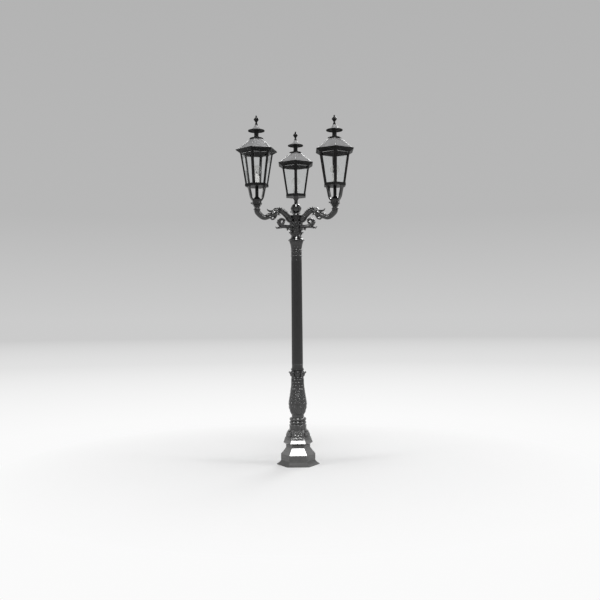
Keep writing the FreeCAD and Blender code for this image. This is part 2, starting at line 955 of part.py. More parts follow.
def vent_hat():
    brim_z = hat_z + brim_height
    return turned([
        (0, hat_z),
        (spool_radius, hat_z),
        (spool_radius + brim_recess, hat_z + brim_recess),
        (brim_radius - brim_recess, hat_z + brim_recess),
        (brim_radius - brim_recess, hat_z),
        (brim_radius, hat_z),
        (brim_radius, brim_z),
        (BOW, hat_hollow),
        (hat_tip_radius, finial_z),
        (0, finial_z),
    ])


def finial():
    knob_z = finial_z + finial_knob_rise
    tip_z = finial_z + finial_height - finial_neck_radius
    slant = math.sqrt(0.5) * finial_neck_radius
    return turned([
        (0, finial_z),
        (hat_tip_radius, finial_z),
        (finial_neck_radius, finial_z + hat_tip_radius - finial_neck_radius),
        (finial_neck_radius, finial_z + finial_neck_height),
        (finial_knob_radius - finial_knob_round, knob_z - 2 * finial_knob_round),
        (finial_knob_radius, knob_z, VIA),
        (finial_knob_radius - finial_knob_round, knob_z + 2 * finial_knob_round, VIA),
        (finial_neck_radius, tip_z),
        (slant, tip_z + slant, VIA),
        (0, tip_z + finial_neck_radius),
    ])


def lampholder():
    floor_z = pan_z + pan_floor
    top = floor_z + holder_height
    socket_floor = top - socket_depth
    return turned([
        (holder_wire_hole, floor_z),
        (holder_base_radius, floor_z),
        (holder_base_radius, floor_z + holder_base_height),
        (holder_radius, floor_z + holder_base_height),
        (holder_radius, top),
        (bulb_cap_radius + bulb_cap_clearance, top),
        (bulb_cap_radius + bulb_cap_clearance, socket_floor),
        (holder_wire_hole, socket_floor),
    ])


def bulb():
    top = pan_z + pan_floor + holder_height
    neck_z = top + bulb_neck_height
    neck_drop = math.sqrt(bulb_radius ** 2 - bulb_neck_radius ** 2)
    centre = neck_z + neck_drop
    return turned([
        (0, top - socket_depth),
        (bulb_cap_radius, top - socket_depth),
        (bulb_cap_radius, top),
        (bulb_neck_radius, top + bulb_neck_height / 2),
        (bulb_neck_radius, neck_z),
        (bulb_radius, centre, VIA),
        (0, centre + bulb_radius),
    ])


# A lantern piece turned and carried out to the end of its arm
def placed(shape, side, hinge_turn=0.0):
    direction = arm_directions[side]
    copy = turn(shape, direction + lantern_turns[side] + hinge_turn)
    angle = math.radians(direction)
    copy.translate(FreeCAD.Vector(arm_reach * math.cos(angle), arm_reach * math.sin(angle), 0))
    return copy


def post_pieces():
    pieces = {
        "pedestal": pedestal(),
        "vase": vase(),
        "leaf_crown": leaf_crown(),
        "shaft": shaft(),
        "capital": capital(),
        "crown_hub": crown_hub(),
        "ball_finial": ball_finial(),
        "arm_studs": arm_studs(),
    }
    one_arm = arm()
    one_scroll = scroll()
    for side, direction in arm_directions.items():
        pieces["arm_" + side] = turn(one_arm, direction)
        pieces["scroll_" + side] = turn(one_scroll, direction)
    return pieces


def lantern_pieces():
    fixed = {
        "cradle": cradle(),
        "set_screws": set_screws(),
        "stem": stem(),
        "pan": pan(),
        "corner_bars": corner_bars(),
        "panes": panes(),
        "lampholder": lampholder(),
        "bulb": bulb(),
    }
    hinged = {
        "top_rail": top_rail(),
        "hinge_pin": hinge_pin(),
        "cornice": cornice(),
        "roof": roof(),
        "vent_neck": vent_neck(),
        "vent_hat": vent_hat(),
        "finial": finial(),
    }
    pieces = {}
    for side in arm_directions:
        for name, shape in fixed.items():
            pieces[side + "_" + name] = placed(shape, side)
        for name, shape in hinged.items():
            pieces[side + "_" + name] = placed(shape, side, hinge_turns[side])
    return pieces


os.makedirs("parts", exist_ok=True)
for node, shape in {**post_pieces(), **lantern_pieces()}.items():
    shape.exportStep("parts/" + node + ".step")
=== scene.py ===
import bpy
import bmesh
import json
import math
from mathutils import Matrix, Vector


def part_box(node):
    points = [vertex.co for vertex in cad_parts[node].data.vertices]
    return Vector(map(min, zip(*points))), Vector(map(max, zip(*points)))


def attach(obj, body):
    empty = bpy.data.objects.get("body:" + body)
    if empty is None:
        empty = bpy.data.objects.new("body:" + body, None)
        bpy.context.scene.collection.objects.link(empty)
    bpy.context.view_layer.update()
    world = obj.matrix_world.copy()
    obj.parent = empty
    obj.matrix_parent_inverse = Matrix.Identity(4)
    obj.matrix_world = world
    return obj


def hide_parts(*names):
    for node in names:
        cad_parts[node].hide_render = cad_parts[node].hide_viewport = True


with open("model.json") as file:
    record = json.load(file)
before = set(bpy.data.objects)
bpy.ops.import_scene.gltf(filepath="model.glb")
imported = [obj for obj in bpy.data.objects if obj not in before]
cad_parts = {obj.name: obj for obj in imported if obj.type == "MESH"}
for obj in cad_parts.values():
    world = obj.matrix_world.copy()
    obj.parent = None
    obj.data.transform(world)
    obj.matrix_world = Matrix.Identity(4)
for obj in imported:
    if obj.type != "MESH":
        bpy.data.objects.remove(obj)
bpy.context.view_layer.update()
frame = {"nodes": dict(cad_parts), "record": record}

sides = ("right", "left", "rear")


# shader helpers
def newMaterial(name):
    material = bpy.data.materials.new(name)
    material.use_nodes = True
    tree = material.node_tree
    shader = tree.nodes["Principled BSDF"]
    return material, tree, shader


def addNode(tree, kind, inputs=None, **settings):
    node = tree.nodes.new(kind)
    for key, value in settings.items():
        setattr(node, key, value)
    for key, value in (inputs or {}).items():
        node.inputs[key].default_value = value
    return node


def objectPoint(tree, stretch=(1, 1, 1)):
    coords = addNode(tree, "ShaderNodeTexCoord")
    mapping = addNode(tree, "ShaderNodeMapping", {"Scale": stretch})
    tree.links.new(coords.outputs["Object"], mapping.inputs["Vector"])
    return mapping.outputs["Vector"]


def upPart(tree, vector):
    split = addNode(tree, "ShaderNodeSeparateXYZ")
    tree.links.new(vector, split.inputs["Vector"])
    return split.outputs["Z"]


def noiseField(tree, point, scale, detail=3.0, rough=0.55):
    node = addNode(tree, "ShaderNodeTexNoise", {"Scale": scale, "Detail": detail, "Roughness": rough})
    tree.links.new(point, node.inputs["Vector"])
    return node.outputs["Fac"]


def spread(tree, field, low, high, fromLow=0.3, fromHigh=0.7):
    node = addNode(tree, "ShaderNodeMapRange",
                   {"From Min": fromLow, "From Max": fromHigh, "To Min": low, "To Max": high})
    tree.links.new(field, node.inputs["Value"])
    return node.outputs["Result"]


def combined(tree, operation, first, second):
    node = addNode(tree, "ShaderNodeMath", operation=operation)
    tree.links.new(first, node.inputs[0])
    tree.links.new(second, node.inputs[1])
    return node.outputs["Value"]


def colourRamp(tree, field, stops):
    node = addNode(tree, "ShaderNodeValToRGB")
    ramp = node.color_ramp
    while len(ramp.elements) < len(stops):
        ramp.elements.new(0.5)
    for element, (place, colour) in zip(ramp.elements, stops):
        element.position = place
        element.color = (*colour, 1)
    tree.links.new(field, node.inputs["Fac"])
    return node.outputs["Color"]


# one colour laid over a tone by its share
def tinted(tree, tone, colour, share):
    mix = addNode(tree, "ShaderNodeMix", data_type="RGBA")
    mix.inputs["B"].default_value = (*colour, 1)
    tree.links.new(share, mix.inputs["Factor"])
    tree.links.new(tone, mix.inputs["A"])
    return mix.outputs["Result"]


def bumped(tree, shader, fields):
    last = None
    for field, strength, distance in fields:
        node = addNode(tree, "ShaderNodeBump", {"Strength": strength, "Distance": distance})
        tree.links.new(field, node.inputs["Height"])
        if last is not None:
            tree.links.new(last, node.inputs["Normal"])
        last = node.outputs["Normal"]
    tree.links.new(last, shader.inputs["Normal"])


# black paint over a cast skin: sand grain, soft runs, road dust that thins out with height, a dull splash
# zone at the ground, and a gloss coat where rain keeps the upper faces clean
postPaint = {
    "dark": (0.005, 0.005, 0.0052), "pale": (0.010, 0.010, 0.0105), "runs": 28.0, "grain": 260.0,
    "roughLow": 0.14, "roughHigh": 0.24, "gloss": 0.75,
    "dust": (0.140, 0.140, 0.137), "dustShare": 0.85, "dustLow": 0.1, "dustHigh": 0.85,
    "splashRough": 0.55, "splashLow": 0.04, "splashHigh": 0.07,
    "coat": 1.0, "coatRough": 0.12, "coatBend": 2.3, "rainFrom": 0.10, "rainTo": 0.35,
}
lanternPaint = dict(postPaint, dark=(0.005, 0.005, 0.005), pale=(0.009, 0.009, 0.009), runs=18.0, grain=520.0,
                    roughLow=0.42, roughHigh=0.56, gloss=0.18, coat=0.15)


def castPaint(name, look):
    material, tree, shader = newMaterial(name)
    point = objectPoint(tree)
    height = upPart(tree, point)
    runs = noiseField(tree, point, look["runs"], 4.0)
    grain = noiseField(tree, point, look["grain"], 2.0)
    tone = colourRamp(tree, runs, [(0.3, look["dark"]), (0.75, look["pale"])])
    settled = spread(tree, height, look["dustShare"], 0.0, look["dustLow"], look["dustHigh"])
    dusty = combined(tree, "MULTIPLY", settled, spread(tree, runs, 0.70, 1.0))
    tree.links.new(tinted(tree, tone, look["dust"], dusty), shader.inputs["Base Color"])
    polish = spread(tree, runs, look["roughLow"], look["roughHigh"])
    splashed = spread(tree, height, look["splashRough"], 0.0, look["splashLow"], look["splashHigh"])
    tree.links.new(combined(tree, "MAXIMUM", polish, splashed), shader.inputs["Roughness"])
    shader.inputs["Specular IOR Level"].default_value = look["gloss"]
    facing = upPart(tree, addNode(tree, "ShaderNodeNewGeometry").outputs["Normal"])
    washed = spread(tree, facing, 0.0, look["coat"], look["rainFrom"], look["rainTo"])
    clean = spread(tree, height, 0.0, 1.0, look["splashLow"], look["splashHigh"])
    tree.links.new(combined(tree, "MULTIPLY", washed, clean), shader.inputs["Coat Weight"])
    shader.inputs["Coat Roughness"].default_value = look["coatRough"]
    shader.inputs["Coat IOR"].default_value = look["coatBend"]
    bumped(tree, shader, [(runs, 0.06, 0.003), (grain, 0.06, 0.0006)])
    return material


# grey sheet metal of the hoods, streaked along the fall of the roof, with painted shade: the faces marked in
# an attribute are coloured near black and made fully rough
sheetLook = {"dark": (0.24, 0.24, 0.243), "pale": (0.36, 0.36, 0.363), "inside": (0.012, 0.012, 0.012),
             "streaks": 70.0, "fall": (1, 1, 0.15), "clouds": 9.0, "roughLow": 0.34, "roughHigh": 0.48}


def roofSheet(name, look):
    material, tree, shader = newMaterial(name)
    streaks = noiseField(tree, objectPoint(tree, look["fall"]), look["streaks"], 5.0)
    clouds = noiseField(tree, objectPoint(tree), look["clouds"], 3.0)
    halfClouds = addNode(tree, "ShaderNodeMath", {1: 0.5}, operation="MULTIPLY")
    tree.links.new(clouds, halfClouds.inputs[0])
    blend = addNode(tree, "ShaderNodeMath", {1: 0.5}, operation="MULTIPLY_ADD")
    tree.links.new(streaks, blend.inputs[0])
    tree.links.new(halfClouds.outputs["Value"], blend.inputs[2])
    tone = colourRamp(tree, blend.outputs["Value"], [(0.3, look["dark"]), (0.7, look["pale"])])
    # painted shade: the marked faces take a near-black colour in place of the sheet's tone
    paintedShadeMask = addNode(tree, "ShaderNodeAttribute", attribute_name="inside").outputs["Fac"]
    tree.links.new(tinted(tree, tone, look["inside"], paintedShadeMask), shader.inputs["Base Color"])
    worn = spread(tree, streaks, look["roughLow"], look["roughHigh"])
    tree.links.new(combined(tree, "MAXIMUM", worn, paintedShadeMask), shader.inputs["Roughness"])
    bumped(tree, shader, [(streaks, 0.05, 0.001)])
    return material


# finishes that waver between two tones
# hip rolls: pale metal, partly real reflection, with its tone raised so that the hips show painted highlight
# lines
hipMetalAndPaintedHighlightLook = {"dark": (0.56, 0.56, 0.56), "pale": (0.72, 0.72, 0.72), "grain": 90.0, "detail": 3.0,
           "roughLow": 0.26, "roughHigh": 0.40, "metal": 0.6}
porcelainLook = {"dark": (0.78, 0.77, 0.74), "pale": (0.86, 0.86, 0.84), "grain": 60.0, "detail": 3.0,
                 "roughLow": 0.12, "roughHigh": 0.22, "coat": 0.6, "bump": 0.03}
steelLook = {"dark": (0.05, 0.05, 0.052), "pale": (0.13, 0.13, 0.135), "grain": 420.0, "detail": 2.0,
             "roughLow": 0.32, "roughHigh": 0.5, "metal": 0.9}


def mottled(name, look):
    material, tree, shader = newMaterial(name)
    grain = noiseField(tree, objectPoint(tree), look["grain"], look["detail"])
    tone = colourRamp(tree, grain, [(0.3, look["dark"]), (0.7, look["pale"])])
    tree.links.new(tone, shader.inputs["Base Color"])
    tree.links.new(spread(tree, grain, look["roughLow"], look["roughHigh"]), shader.inputs["Roughness"])
    shader.inputs["Metallic"].default_value = look.get("metal", 0.0)
    shader.inputs["Coat Weight"].default_value = look.get("coat", 0.0)
    if "bump" in look:
        bumped(tree, shader, [(grain, look["bump"], 0.001)])
    return material


# glass with a faint haze
paneLook = {"tint": (0.97, 0.98, 0.98), "haze": 0.04, "bend": 1.28}
globeLook = {"tint": (0.96, 0.96, 0.95), "haze": 0.05, "bend": 1.46}


def clearGlass(name, look):
    material, tree, shader = newMaterial(name)
    shader.inputs["Base Color"].default_value = (*look["tint"], 1)
    shader.inputs["Transmission Weight"].default_value = 1.0
    shader.inputs["IOR"].default_value = look["bend"]
    haze = noiseField(tree, objectPoint(tree), 24.0, 4.0)
    tree.links.new(spread(tree, haze, 0.0, look["haze"]), shader.inputs["Roughness"])
    return material


finishes = {
    "post_iron": castPaint("postIron", postPaint),
    "lantern_black": castPaint("lanternBlack", lanternPaint),
    "roof_sheet": roofSheet("roofSheet", sheetLook),
    "steel": mottled("blackenedSteel", steelLook),
    "pane_glass": clearGlass("paneGlass", paneLook),
    "bulb_glass": clearGlass("bulbGlass", globeLook),
    "porcelain": mottled("porcelain", porcelainLook),
    "hip": mottled("brightHip", hipMetalAndPaintedHighlightLook),
}


def dressNodes():
    slots = {row["node"]: row["material_slot"] for row in frame["record"]["subparts"]}
    for node, piece in frame["nodes"].items():
        piece.data.materials.clear()
        piece.data.materials.append(finishes[slots[node]])
        if slots[node].endswith("glass"):
            piece.visible_shadow = False  # lamps reach the inside through the glass
    print("dressed", len(frame["nodes"]), "nodes")


dressNodes()


# mesh helpers
def putMesh(name, verts, faces, finish, sharp=38.0):
    mesh = bpy.data.meshes.new(name)
    mesh.from_pydata(verts, [], faces)
    return settleMesh(name, mesh, finish, sharp)


def putForm(name, form, finish):
    mesh = bpy.data.meshes.new(name)
    form.to_mesh(mesh)
    form.free()
    return settleMesh(name, mesh, finish)


def settleMesh(name, mesh, finish, sharp=38.0):
    form = bmesh.new()
    form.from_mesh(mesh)
    bmesh.ops.remove_doubles(form, verts=form.verts, dist=1e-6)
    bmesh.ops.recalc_face_normals(form, faces=form.faces)
    form.to_mesh(mesh)
    form.free()
    mesh.shade_smooth()
    mesh.set_sharp_from_angle(angle=math.radians(sharp))
    mesh.materials.clear()
    mesh.materials.append(finishes[finish])
    piece = bpy.data.objects.new(name, mesh)
    bpy.context.collection.objects.link(piece)
    return piece


def frozen(piece):
    graph = bpy.context.evaluated_depsgraph_get()
    mesh = bpy.data.meshes.new_from_object(piece.evaluated_get(graph))
    piece.modifiers.clear()
    piece.data = mesh
    return mesh


# a line of points through the given ones, rounded and evenly spaced
def smoothLine(points, count):
    points = [Vector(p) for p in points]
    padded = [2 * points[0] - points[1]] + points + [2 * points[-1] - points[-2]]
    fine = []
    steps = 24
    for a, b, c, d in zip(padded, padded[1:], padded[2:], padded[3:]):
        for i in range(steps):
            t = i / steps
            fine.append(0.5 * (2 * b + (c - a) * t + (2 * a - 5 * b + 4 * c - d) * t * t
                               + (3 * b - a - 3 * c + d) * t ** 3))
    fine.append(points[-1])
    lengths = runLengths(fine)
    line = []
    spot = 0
    for i in range(count):
        want = lengths[-1] * i / (count - 1)
        while spot < len(fine) - 2 and lengths[spot + 1] < want:
            spot += 1
        gap = lengths[spot + 1] - lengths[spot]
        line.append(fine[spot].lerp(fine[spot + 1], (want - lengths[spot]) / gap if gap else 0.0))
    return line


def runLengths(line):
    lengths = [0.0]
    for p, q in zip(line, line[1:]):
        lengths.append(lengths[-1] + (q - p).length)
    return lengths


def blended(values, share):
    spot = share * (len(values) - 1)
    index = min(int(spot), len(values) - 2)
    return values[index] + (values[index + 1] - values[index]) * (spot - index)


# a round limb along a line, widened sideways by its breadth, with bluntly pointed ends
def addLimb(form, points, radii, breadth=1.0, rings=40, around=24, lean=Vector((0, 1, 0))):
    line = smoothLine(points, rings)
    loops = []
    for i, centre in enumerate(line):
        tangent = (line[min(i + 1, rings - 1)] - line[max(i - 1, 0)]).normalized()
        side = (lean - tangent * lean.dot(tangent)).normalized()
        up = side.cross(tangent)
        radius = blended(radii, i / (rings - 1))
        loop = []
        for j in range(around):
            angle = 2 * math.pi * j / around
            loop.append(form.verts.new(centre + side * (radius * breadth * math.cos(angle))
                                       + up * (radius * math.sin(angle))))
        loops.append(loop)
    for low, high in zip(loops, loops[1:]):
        for j in range(around):
            k = (j + 1) % around
            form.faces.new((low[j], low[k], high[k], high[j]))
    for loop, end, back in ((loops[0], line[0], line[1]), (loops[-1], line[-1], line[-2])):
        radius = (loop[0].co - end).length
        tip = form.verts.new(end + (end - back).normalized() * radius * 0.6)
        for j in range(around):
            form.faces.new((loop[j], loop[(j + 1) % around], tip))
    return line


def addBall(form, centre, radii, lean=0.0, rings=12):
    turned = Matrix.Rotation(lean, 4, "Y") @ Matrix.Diagonal((*radii, 1))
    bmesh.ops.create_uvsphere(form, u_segments=2 * rings, v_segments=rings, radius=1.0,
                              matrix=Matrix.Translation(centre) @ turned)


def addBlock(form, low, high):
    size = [b - a for a, b in zip(low, high)]
    middle = [(a + b) / 2 for a, b in zip(low, high)]
    bmesh.ops.create_cube(form, size=1.0, matrix=Matrix.Translation(middle) @ Matrix.Diagonal((*size, 1)))


# several closed forms melted into one casting
def melted(name, form, voxel, finish, ease=3):
    bmesh.ops.recalc_face_normals(form, faces=form.faces)
    mesh = bpy.data.meshes.new(name)
    form.to_mesh(mesh)
    form.free()
    piece = bpy.data.objects.new(name, mesh)
    bpy.context.collection.objects.link(piece)
    fuse = piece.modifiers.new("fuse", "REMESH")
    fuse.mode = "VOXEL"
    fuse.voxel_size = voxel
    soften = piece.modifiers.new("soften", "SMOOTH")
    soften.factor = 0.5
    soften.iterations = ease
    mesh = frozen(piece)
    mesh.shade_smooth()
    mesh.materials.clear()
    mesh.materials.append(finishes[finish])
    return piece


# a turned form: rows of points round the axis, each moved out by its relief if it has one
def turnedGrid(name, profile, segments, finish, relief=None, sharp=38.0):
    verts = []
    for radius, height in profile:
        for i in range(segments):
            angle = 2 * math.pi * i / segments
            reach = radius + relief(angle, radius, height) if relief else radius
            verts.append((reach * math.cos(angle), reach * math.sin(angle), height))
    faces = []
    for row in range(len(profile) - 1):
        for i in range(segments):
            j = (i + 1) % segments
            low = row * segments
            faces.append((low + i, low + j, low + segments + j, low + segments + i))
    for row in (0, len(profile) - 1):
        verts.append((0, 0, profile[row][1]))
        centre = len(verts) - 1
        for i in range(segments):
            faces.append((row * segments + i, row * segments + (i + 1) % segments, centre))
    return putMesh(name, verts, faces, finish, sharp)


# a profile of radius and height pairs: it runs straight from corner to corner, in an arc over one point
# marked "on" and in a curve over several
def traced(steps, spacing):
    rows = [steps[0]]
    passed = []
    for step in steps[1:]:
        if len(step) == 3:
            passed.append(step[:2])
            continue
        here = rows[-1]
        corners = [here] + passed + [step]
        run = sum(math.dist(a, b) for a, b in zip(corners, corners[1:]))
        count = max(2, int(run / spacing) + 1)
        if len(passed) == 1:
            line = arcLine(here, passed[0], step, count)
        elif passed:
            line = [(p.x, p.y) for p in smoothLine([(a, b, 0) for a, b in corners], count)]
        else:
            across, rise = step[0] - here[0], step[1] - here[1]
            last = count - 1
            line = [(here[0] + across * i / last, here[1] + rise * i / last) for i in range(count)]
        rows += line[1:]
        passed = []
    return rows


def arcLine(a, b, c, count):
    d = 2 * (a[0] * (b[1] - c[1]) + b[0] * (c[1] - a[1]) + c[0] * (a[1] - b[1]))
    squares = [p[0] ** 2 + p[1] ** 2 for p in (a, b, c)]
    x = (squares[0] * (b[1] - c[1]) + squares[1] * (c[1] - a[1]) + squares[2] * (a[1] - b[1])) / d
    y = (squares[0] * (c[0] - b[0]) + squares[1] * (a[0] - c[0]) + squares[2] * (b[0] - a[0])) / d
    radius = math.dist((x, y), a)
    angles = [math.atan2(p[1] - y, p[0] - x) for p in (a, b, c)]
    whole = 2 * math.pi
    sweep = (angles[2] - angles[0]) % whole
    if (angles[1] - angles[0]) % whole > sweep:
        sweep -= whole
    return [(x + radius * math.cos(angles[0] + sweep * i / (count - 1)),
             y + radius * math.sin(angles[0] + sweep * i / (count - 1))) for i in range(count)]


# a point at an angle round the post
def onDrum(radius, angle, height):
    return Vector((radius * math.cos(angle), radius * math.sin(angle), height))


def rideOn(piece, body, slot, *nodes):
    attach(piece, body)
    if nodes:
        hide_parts(*nodes)


def rideOnPost(piece, *nodes):
    rideOn(piece, "post", "post_iron", *nodes)


# a piece copied round an upright axis by nodes
def ringTree(finish):
    tree = bpy.data.node_groups.new("ring_" + finish, "GeometryNodeTree")
    tree.interface.new_socket("Geometry", in_out="INPUT", socket_type="NodeSocketGeometry")
    count = tree.interface.new_socket("Count", in_out="INPUT", socket_type="NodeSocketInt")
    start = tree.interface.new_socket("Start", in_out="INPUT", socket_type="NodeSocketFloat")
    centre = tree.interface.new_socket("Centre", in_out="INPUT", socket_type="NodeSocketVector")
    tree.interface.new_socket("Geometry", in_out="OUTPUT", socket_type="NodeSocketGeometry")
    source = tree.nodes.new("NodeGroupInput")
    target = tree.nodes.new("NodeGroupOutput")
    points = tree.nodes.new("GeometryNodePoints")
    index = tree.nodes.new("GeometryNodeInputIndex")
    share = addNode(tree, "ShaderNodeMath", operation="DIVIDE")
    angle = addNode(tree, "ShaderNodeMath", {1: 2 * math.pi}, operation="MULTIPLY_ADD")
    spin = tree.nodes.new("ShaderNodeCombineXYZ")
    copies = tree.nodes.new("GeometryNodeInstanceOnPoints")
    whole = tree.nodes.new("GeometryNodeRealizeInstances")
    paint = tree.nodes.new("GeometryNodeSetMaterial")
    paint.inputs["Material"].default_value = finishes[finish]
    link = tree.links.new
    link(source.outputs["Count"], points.inputs["Count"])
    link(source.outputs["Centre"], points.inputs["Position"])
    link(index.outputs["Index"], share.inputs[0])
    link(source.outputs["Count"], share.inputs[1])
    link(share.outputs["Value"], angle.inputs[0])
    link(source.outputs["Start"], angle.inputs[2])
    link(angle.outputs["Value"], spin.inputs["Z"])
    link(points.outputs["Points"], copies.inputs["Points"])
    link(source.outputs["Geometry"], copies.inputs["Instance"])
    link(spin.outputs["Vector"], copies.inputs["Rotation"])
    link(copies.outputs["Instances"], whole.inputs["Geometry"])
    link(whole.outputs["Geometry"], paint.inputs["Geometry"])
    link(paint.outputs["Geometry"], target.inputs["Geometry"])
    return tree, (count.identifier, start.identifier, centre.identifier)


ringTrees = {}


def ringed(piece, finish, count, start=0.0, centre=(0, 0, 0)):
    if finish not in ringTrees:
        ringTrees[finish] = ringTree(finish)
    tree, sockets = ringTrees[finish]
    ring = piece.modifiers.new("ring", "NODES")
    ring.node_group = tree
    for socket, value in zip(sockets, (count, start, centre)):
        ring[socket] = value
    frozen(piece)
    return piece


# scalloped leaf with a midrib and side veins: its height at u across it and v along it
leafLook = {"swell": 0.80, "fullness": 0.70, "scallop": 0.36, "lobeSlant": 0.35, "rim": 0.16, "plate": 0.42,
            "rib": 0.36, "ribWidth": 0.09, "vein": 0.13, "veinSlant": 0.8, "cup": 0.14, "curl": 0.60}


def leafHeight(u, v, lobes, look):
    if v <= 0.0 or v >= 1.0:
        return 0.0
    width = math.sin(math.pi * v ** look["swell"]) ** look["fullness"]
    notch = 0.5 + 0.5 * math.cos(2 * math.pi * (lobes * v - look["lobeSlant"] * abs(u)))
    width *= 1 - look["scallop"] * notch
    edge = (width - abs(u)) / look["rim"]
    if edge <= 0.0:
        return 0.0
    plate = min(1.0, edge)
    plate = plate * plate * (3 - 2 * plate)
    rib = look["rib"] * math.exp(-(u / look["ribWidth"]) ** 2)
    veins = look["vein"] * math.cos(2 * math.pi * (lobes * v - look["veinSlant"] * abs(u)))
    return plate * (look["plate"] + rib + veins + look["cup"] * math.sqrt(abs(u)) + look["curl"] * v ** 4)


# relief of a ring of such leaves, which starts at its rise over a base height
def leafTier(angle, radius, height, tier, base):
    step = 2 * math.pi / tier["count"]
    nearest = (angle - tier["start"] + math.pi) % (2 * math.pi) - math.pi
    offset = nearest - step * round(nearest / step)
    u = offset * radius / tier["halfWidth"]
    v = (height - (base + tier["rise"])) / tier["height"]
    return tier["relief"] * leafHeight(u, v, tier["lobes"], leafLook)


front = math.radians(-90)  # the side that faces the camera

# vase with four tiers of acanthus leaves, over two rings and a drum with a leaf frieze
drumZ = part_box("pedestal")[1][2]
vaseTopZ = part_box("vase")[1][2]
vaseLook = {
    "boreShare": 0.6, "drumRadius": 0.082, "drumHeight": 0.057, "edge": 0.004, "sunk": 0.0015,
    "ringRadius": 0.084, "ringCore": 0.071, "ringHeight": 0.033, "neckRadius": 0.061, "neckHeight": 0.028,
    "footRadius": 0.065, "footEdge": 0.003, "bellyRadius": 0.0885, "bellyRise": 0.112,
    "waningRadius": 0.0665, "waningRise": 0.255, "topRadius": 0.0595, "segments": 288, "spacing": 0.0024,
    "frieze": {"count": 12, "start": front, "rise": 0.004, "height": 0.050, "halfWidth": 0.017,
               "relief": 0.0045, "lobes": 3},
    "tiers": [
        {"count": 6, "start": front, "rise": 0.004, "height": 0.200, "halfWidth": 0.038,
         "relief": 0.0062, "lobes": 5},
        {"count": 6, "start": math.radians(-60), "rise": 0.100, "height": 0.170, "halfWidth": 0.031,
         "relief": 0.0040, "lobes": 5},
        {"count": 6, "start": front, "rise": 0.190, "height": 0.172, "halfWidth": 0.028,
         "relief": 0.0055, "lobes": 5},
        {"count": 6, "start": math.radians(-60), "rise": 0.255, "height": 0.108, "halfWidth": 0.020,
         "relief": 0.0030, "lobes": 3},
    ],
}


def makeVase(look):
    ringsZ = drumZ + look["drumHeight"]
    neckZ = ringsZ + 2 * look["ringHeight"]
    footZ = neckZ + look["neckHeight"]
    drum, edge = look["drumRadius"], look["edge"]
    core, bulge, high = look["ringCore"], look["ringRadius"], look["ringHeight"]
    profile = traced([
        (drum * look["boreShare"], drumZ), (drum, drumZ), (drum, ringsZ - edge), (drum - edge, ringsZ),
        (core, ringsZ), (bulge, ringsZ + high / 2, "on"), (core, ringsZ + high),
        (bulge, ringsZ + high * 1.5, "on"), (core, neckZ),
        (look["neckRadius"], neckZ + edge), (look["neckRadius"], footZ),
        (look["footRadius"], footZ + look["footEdge"]),
        (look["bellyRadius"] * 0.90, footZ + look["bellyRise"] * 0.36, "on"),
        (look["bellyRadius"], footZ + look["bellyRise"], "on"),
        (look["waningRadius"], footZ + look["waningRise"], "on"),
        (look["topRadius"], vaseTopZ),
    ], look["spacing"])

    def relief(angle, radius, height):
        if height < ringsZ:
            return leafTier(angle, radius, height, look["frieze"], drumZ) - look["sunk"]
        if height < footZ:
            return 0.0
        return max(leafTier(angle, radius, height, tier, footZ) for tier in look["tiers"])

    piece = turnedGrid("vase_carved", profile, look["segments"], "post_iron", relief, 60.0)
    rideOnPost(piece, "vase")
    print("vase", len(piece.data.polygons), "faces")


makeVase(vaseLook)


# crown of leaves between the vase and the shaft
crownLook = {
    "bore": 0.04, "core": 0.060, "ring": 0.065, "ringHeight": 0.022, "segments": 96, "spacing": 0.003,
    "count": 8, "leafLow": 0.012, "leafRise": 0.047, "reach": 0.0898, "voxel": 0.0017,
    "leafRadii": [0.010, 0.013, 0.0090, 0.0045], "leafBreadth": 1.35, "ribRadii": [0.002, 0.0035, 0.002],
    "lobes": [(0.10, 0.55, 0.005), (0.38, 0.86, 0.012)], "lobeRadii": [0.006, 0.0075, 0.0030],
    "lipRadii": (0.0090, 0.0160, 0.0040), "lipLean": math.radians(57),
}


def makeCrown(look):
    lowZ = vaseTopZ
    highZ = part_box("shaft")[0][2]
    core, ring = look["core"], look["ring"]
    ringZ = highZ - look["ringHeight"]
    profile = traced([
        (look["bore"], lowZ), (core, lowZ), (core + 0.004, lowZ + 0.005, "on"), (core, lowZ + 0.010),
        (core - 0.004, lowZ + 0.05), (core - 0.006, ringZ - 0.012), (core - 0.002, ringZ - 0.004),
        (ring, ringZ), (ring, highZ - 0.010), (ring - 0.004, highZ - 0.005), (ring - 0.004, highZ),
        (look["bore"], highZ),
    ], look["spacing"])
    body = turnedGrid("crown_core", profile, look["segments"], "post_iron")
    rideOnPost(body, "leaf_crown")
    leaves = crownLeaf(look, lowZ + look["leafLow"])
    ringed(leaves, "post_iron", look["count"], front)
    rideOnPost(leaves)
    print("crown leaves", len(leaves.data.polygons))


# one thick leaf that flares out to a curled lip, with a rib and two lobes on each side
def crownLeaf(look, lowZ):
    form = bmesh.new()
    core, rise, reach = look["core"], look["leafRise"], look["reach"]
    spine = [(core - 0.006, 0, lowZ + 0.004), (core + 0.002, 0, lowZ + rise * 0.45),
             (core + 0.014, 0, lowZ + rise * 0.82), (reach - 0.004, 0, lowZ + rise - 0.002)]
    addLimb(form, spine, look["leafRadii"], look["leafBreadth"], 30)
    rib = [(x + 0.010 - 0.002 * i, 0, z - 0.003) for i, (x, _, z) in enumerate(spine[:3])]
    addLimb(form, rib, look["ribRadii"], 1.0, 16, 12)
    for way in (-1, 1):
        for start, height, out in look["lobes"]:
            root = Vector((core - 0.002, way * 0.008, lowZ + rise * start))
            tip = Vector((core + out + 0.004, way * 0.0215, lowZ + rise * height))
            middle = root.lerp(tip, 0.5) + Vector((0.003, way * 0.004, 0))
            addLimb(form, [root, middle, tip], look["lobeRadii"], 0.9, 16, 14)
    addBall(form, (reach - 0.0075, 0, lowZ + rise - 0.0015), look["lipRadii"], look["lipLean"])
    return melted("crown_leaves", form, look["voxel"], "post_iron", 2)


makeCrown(crownLook)


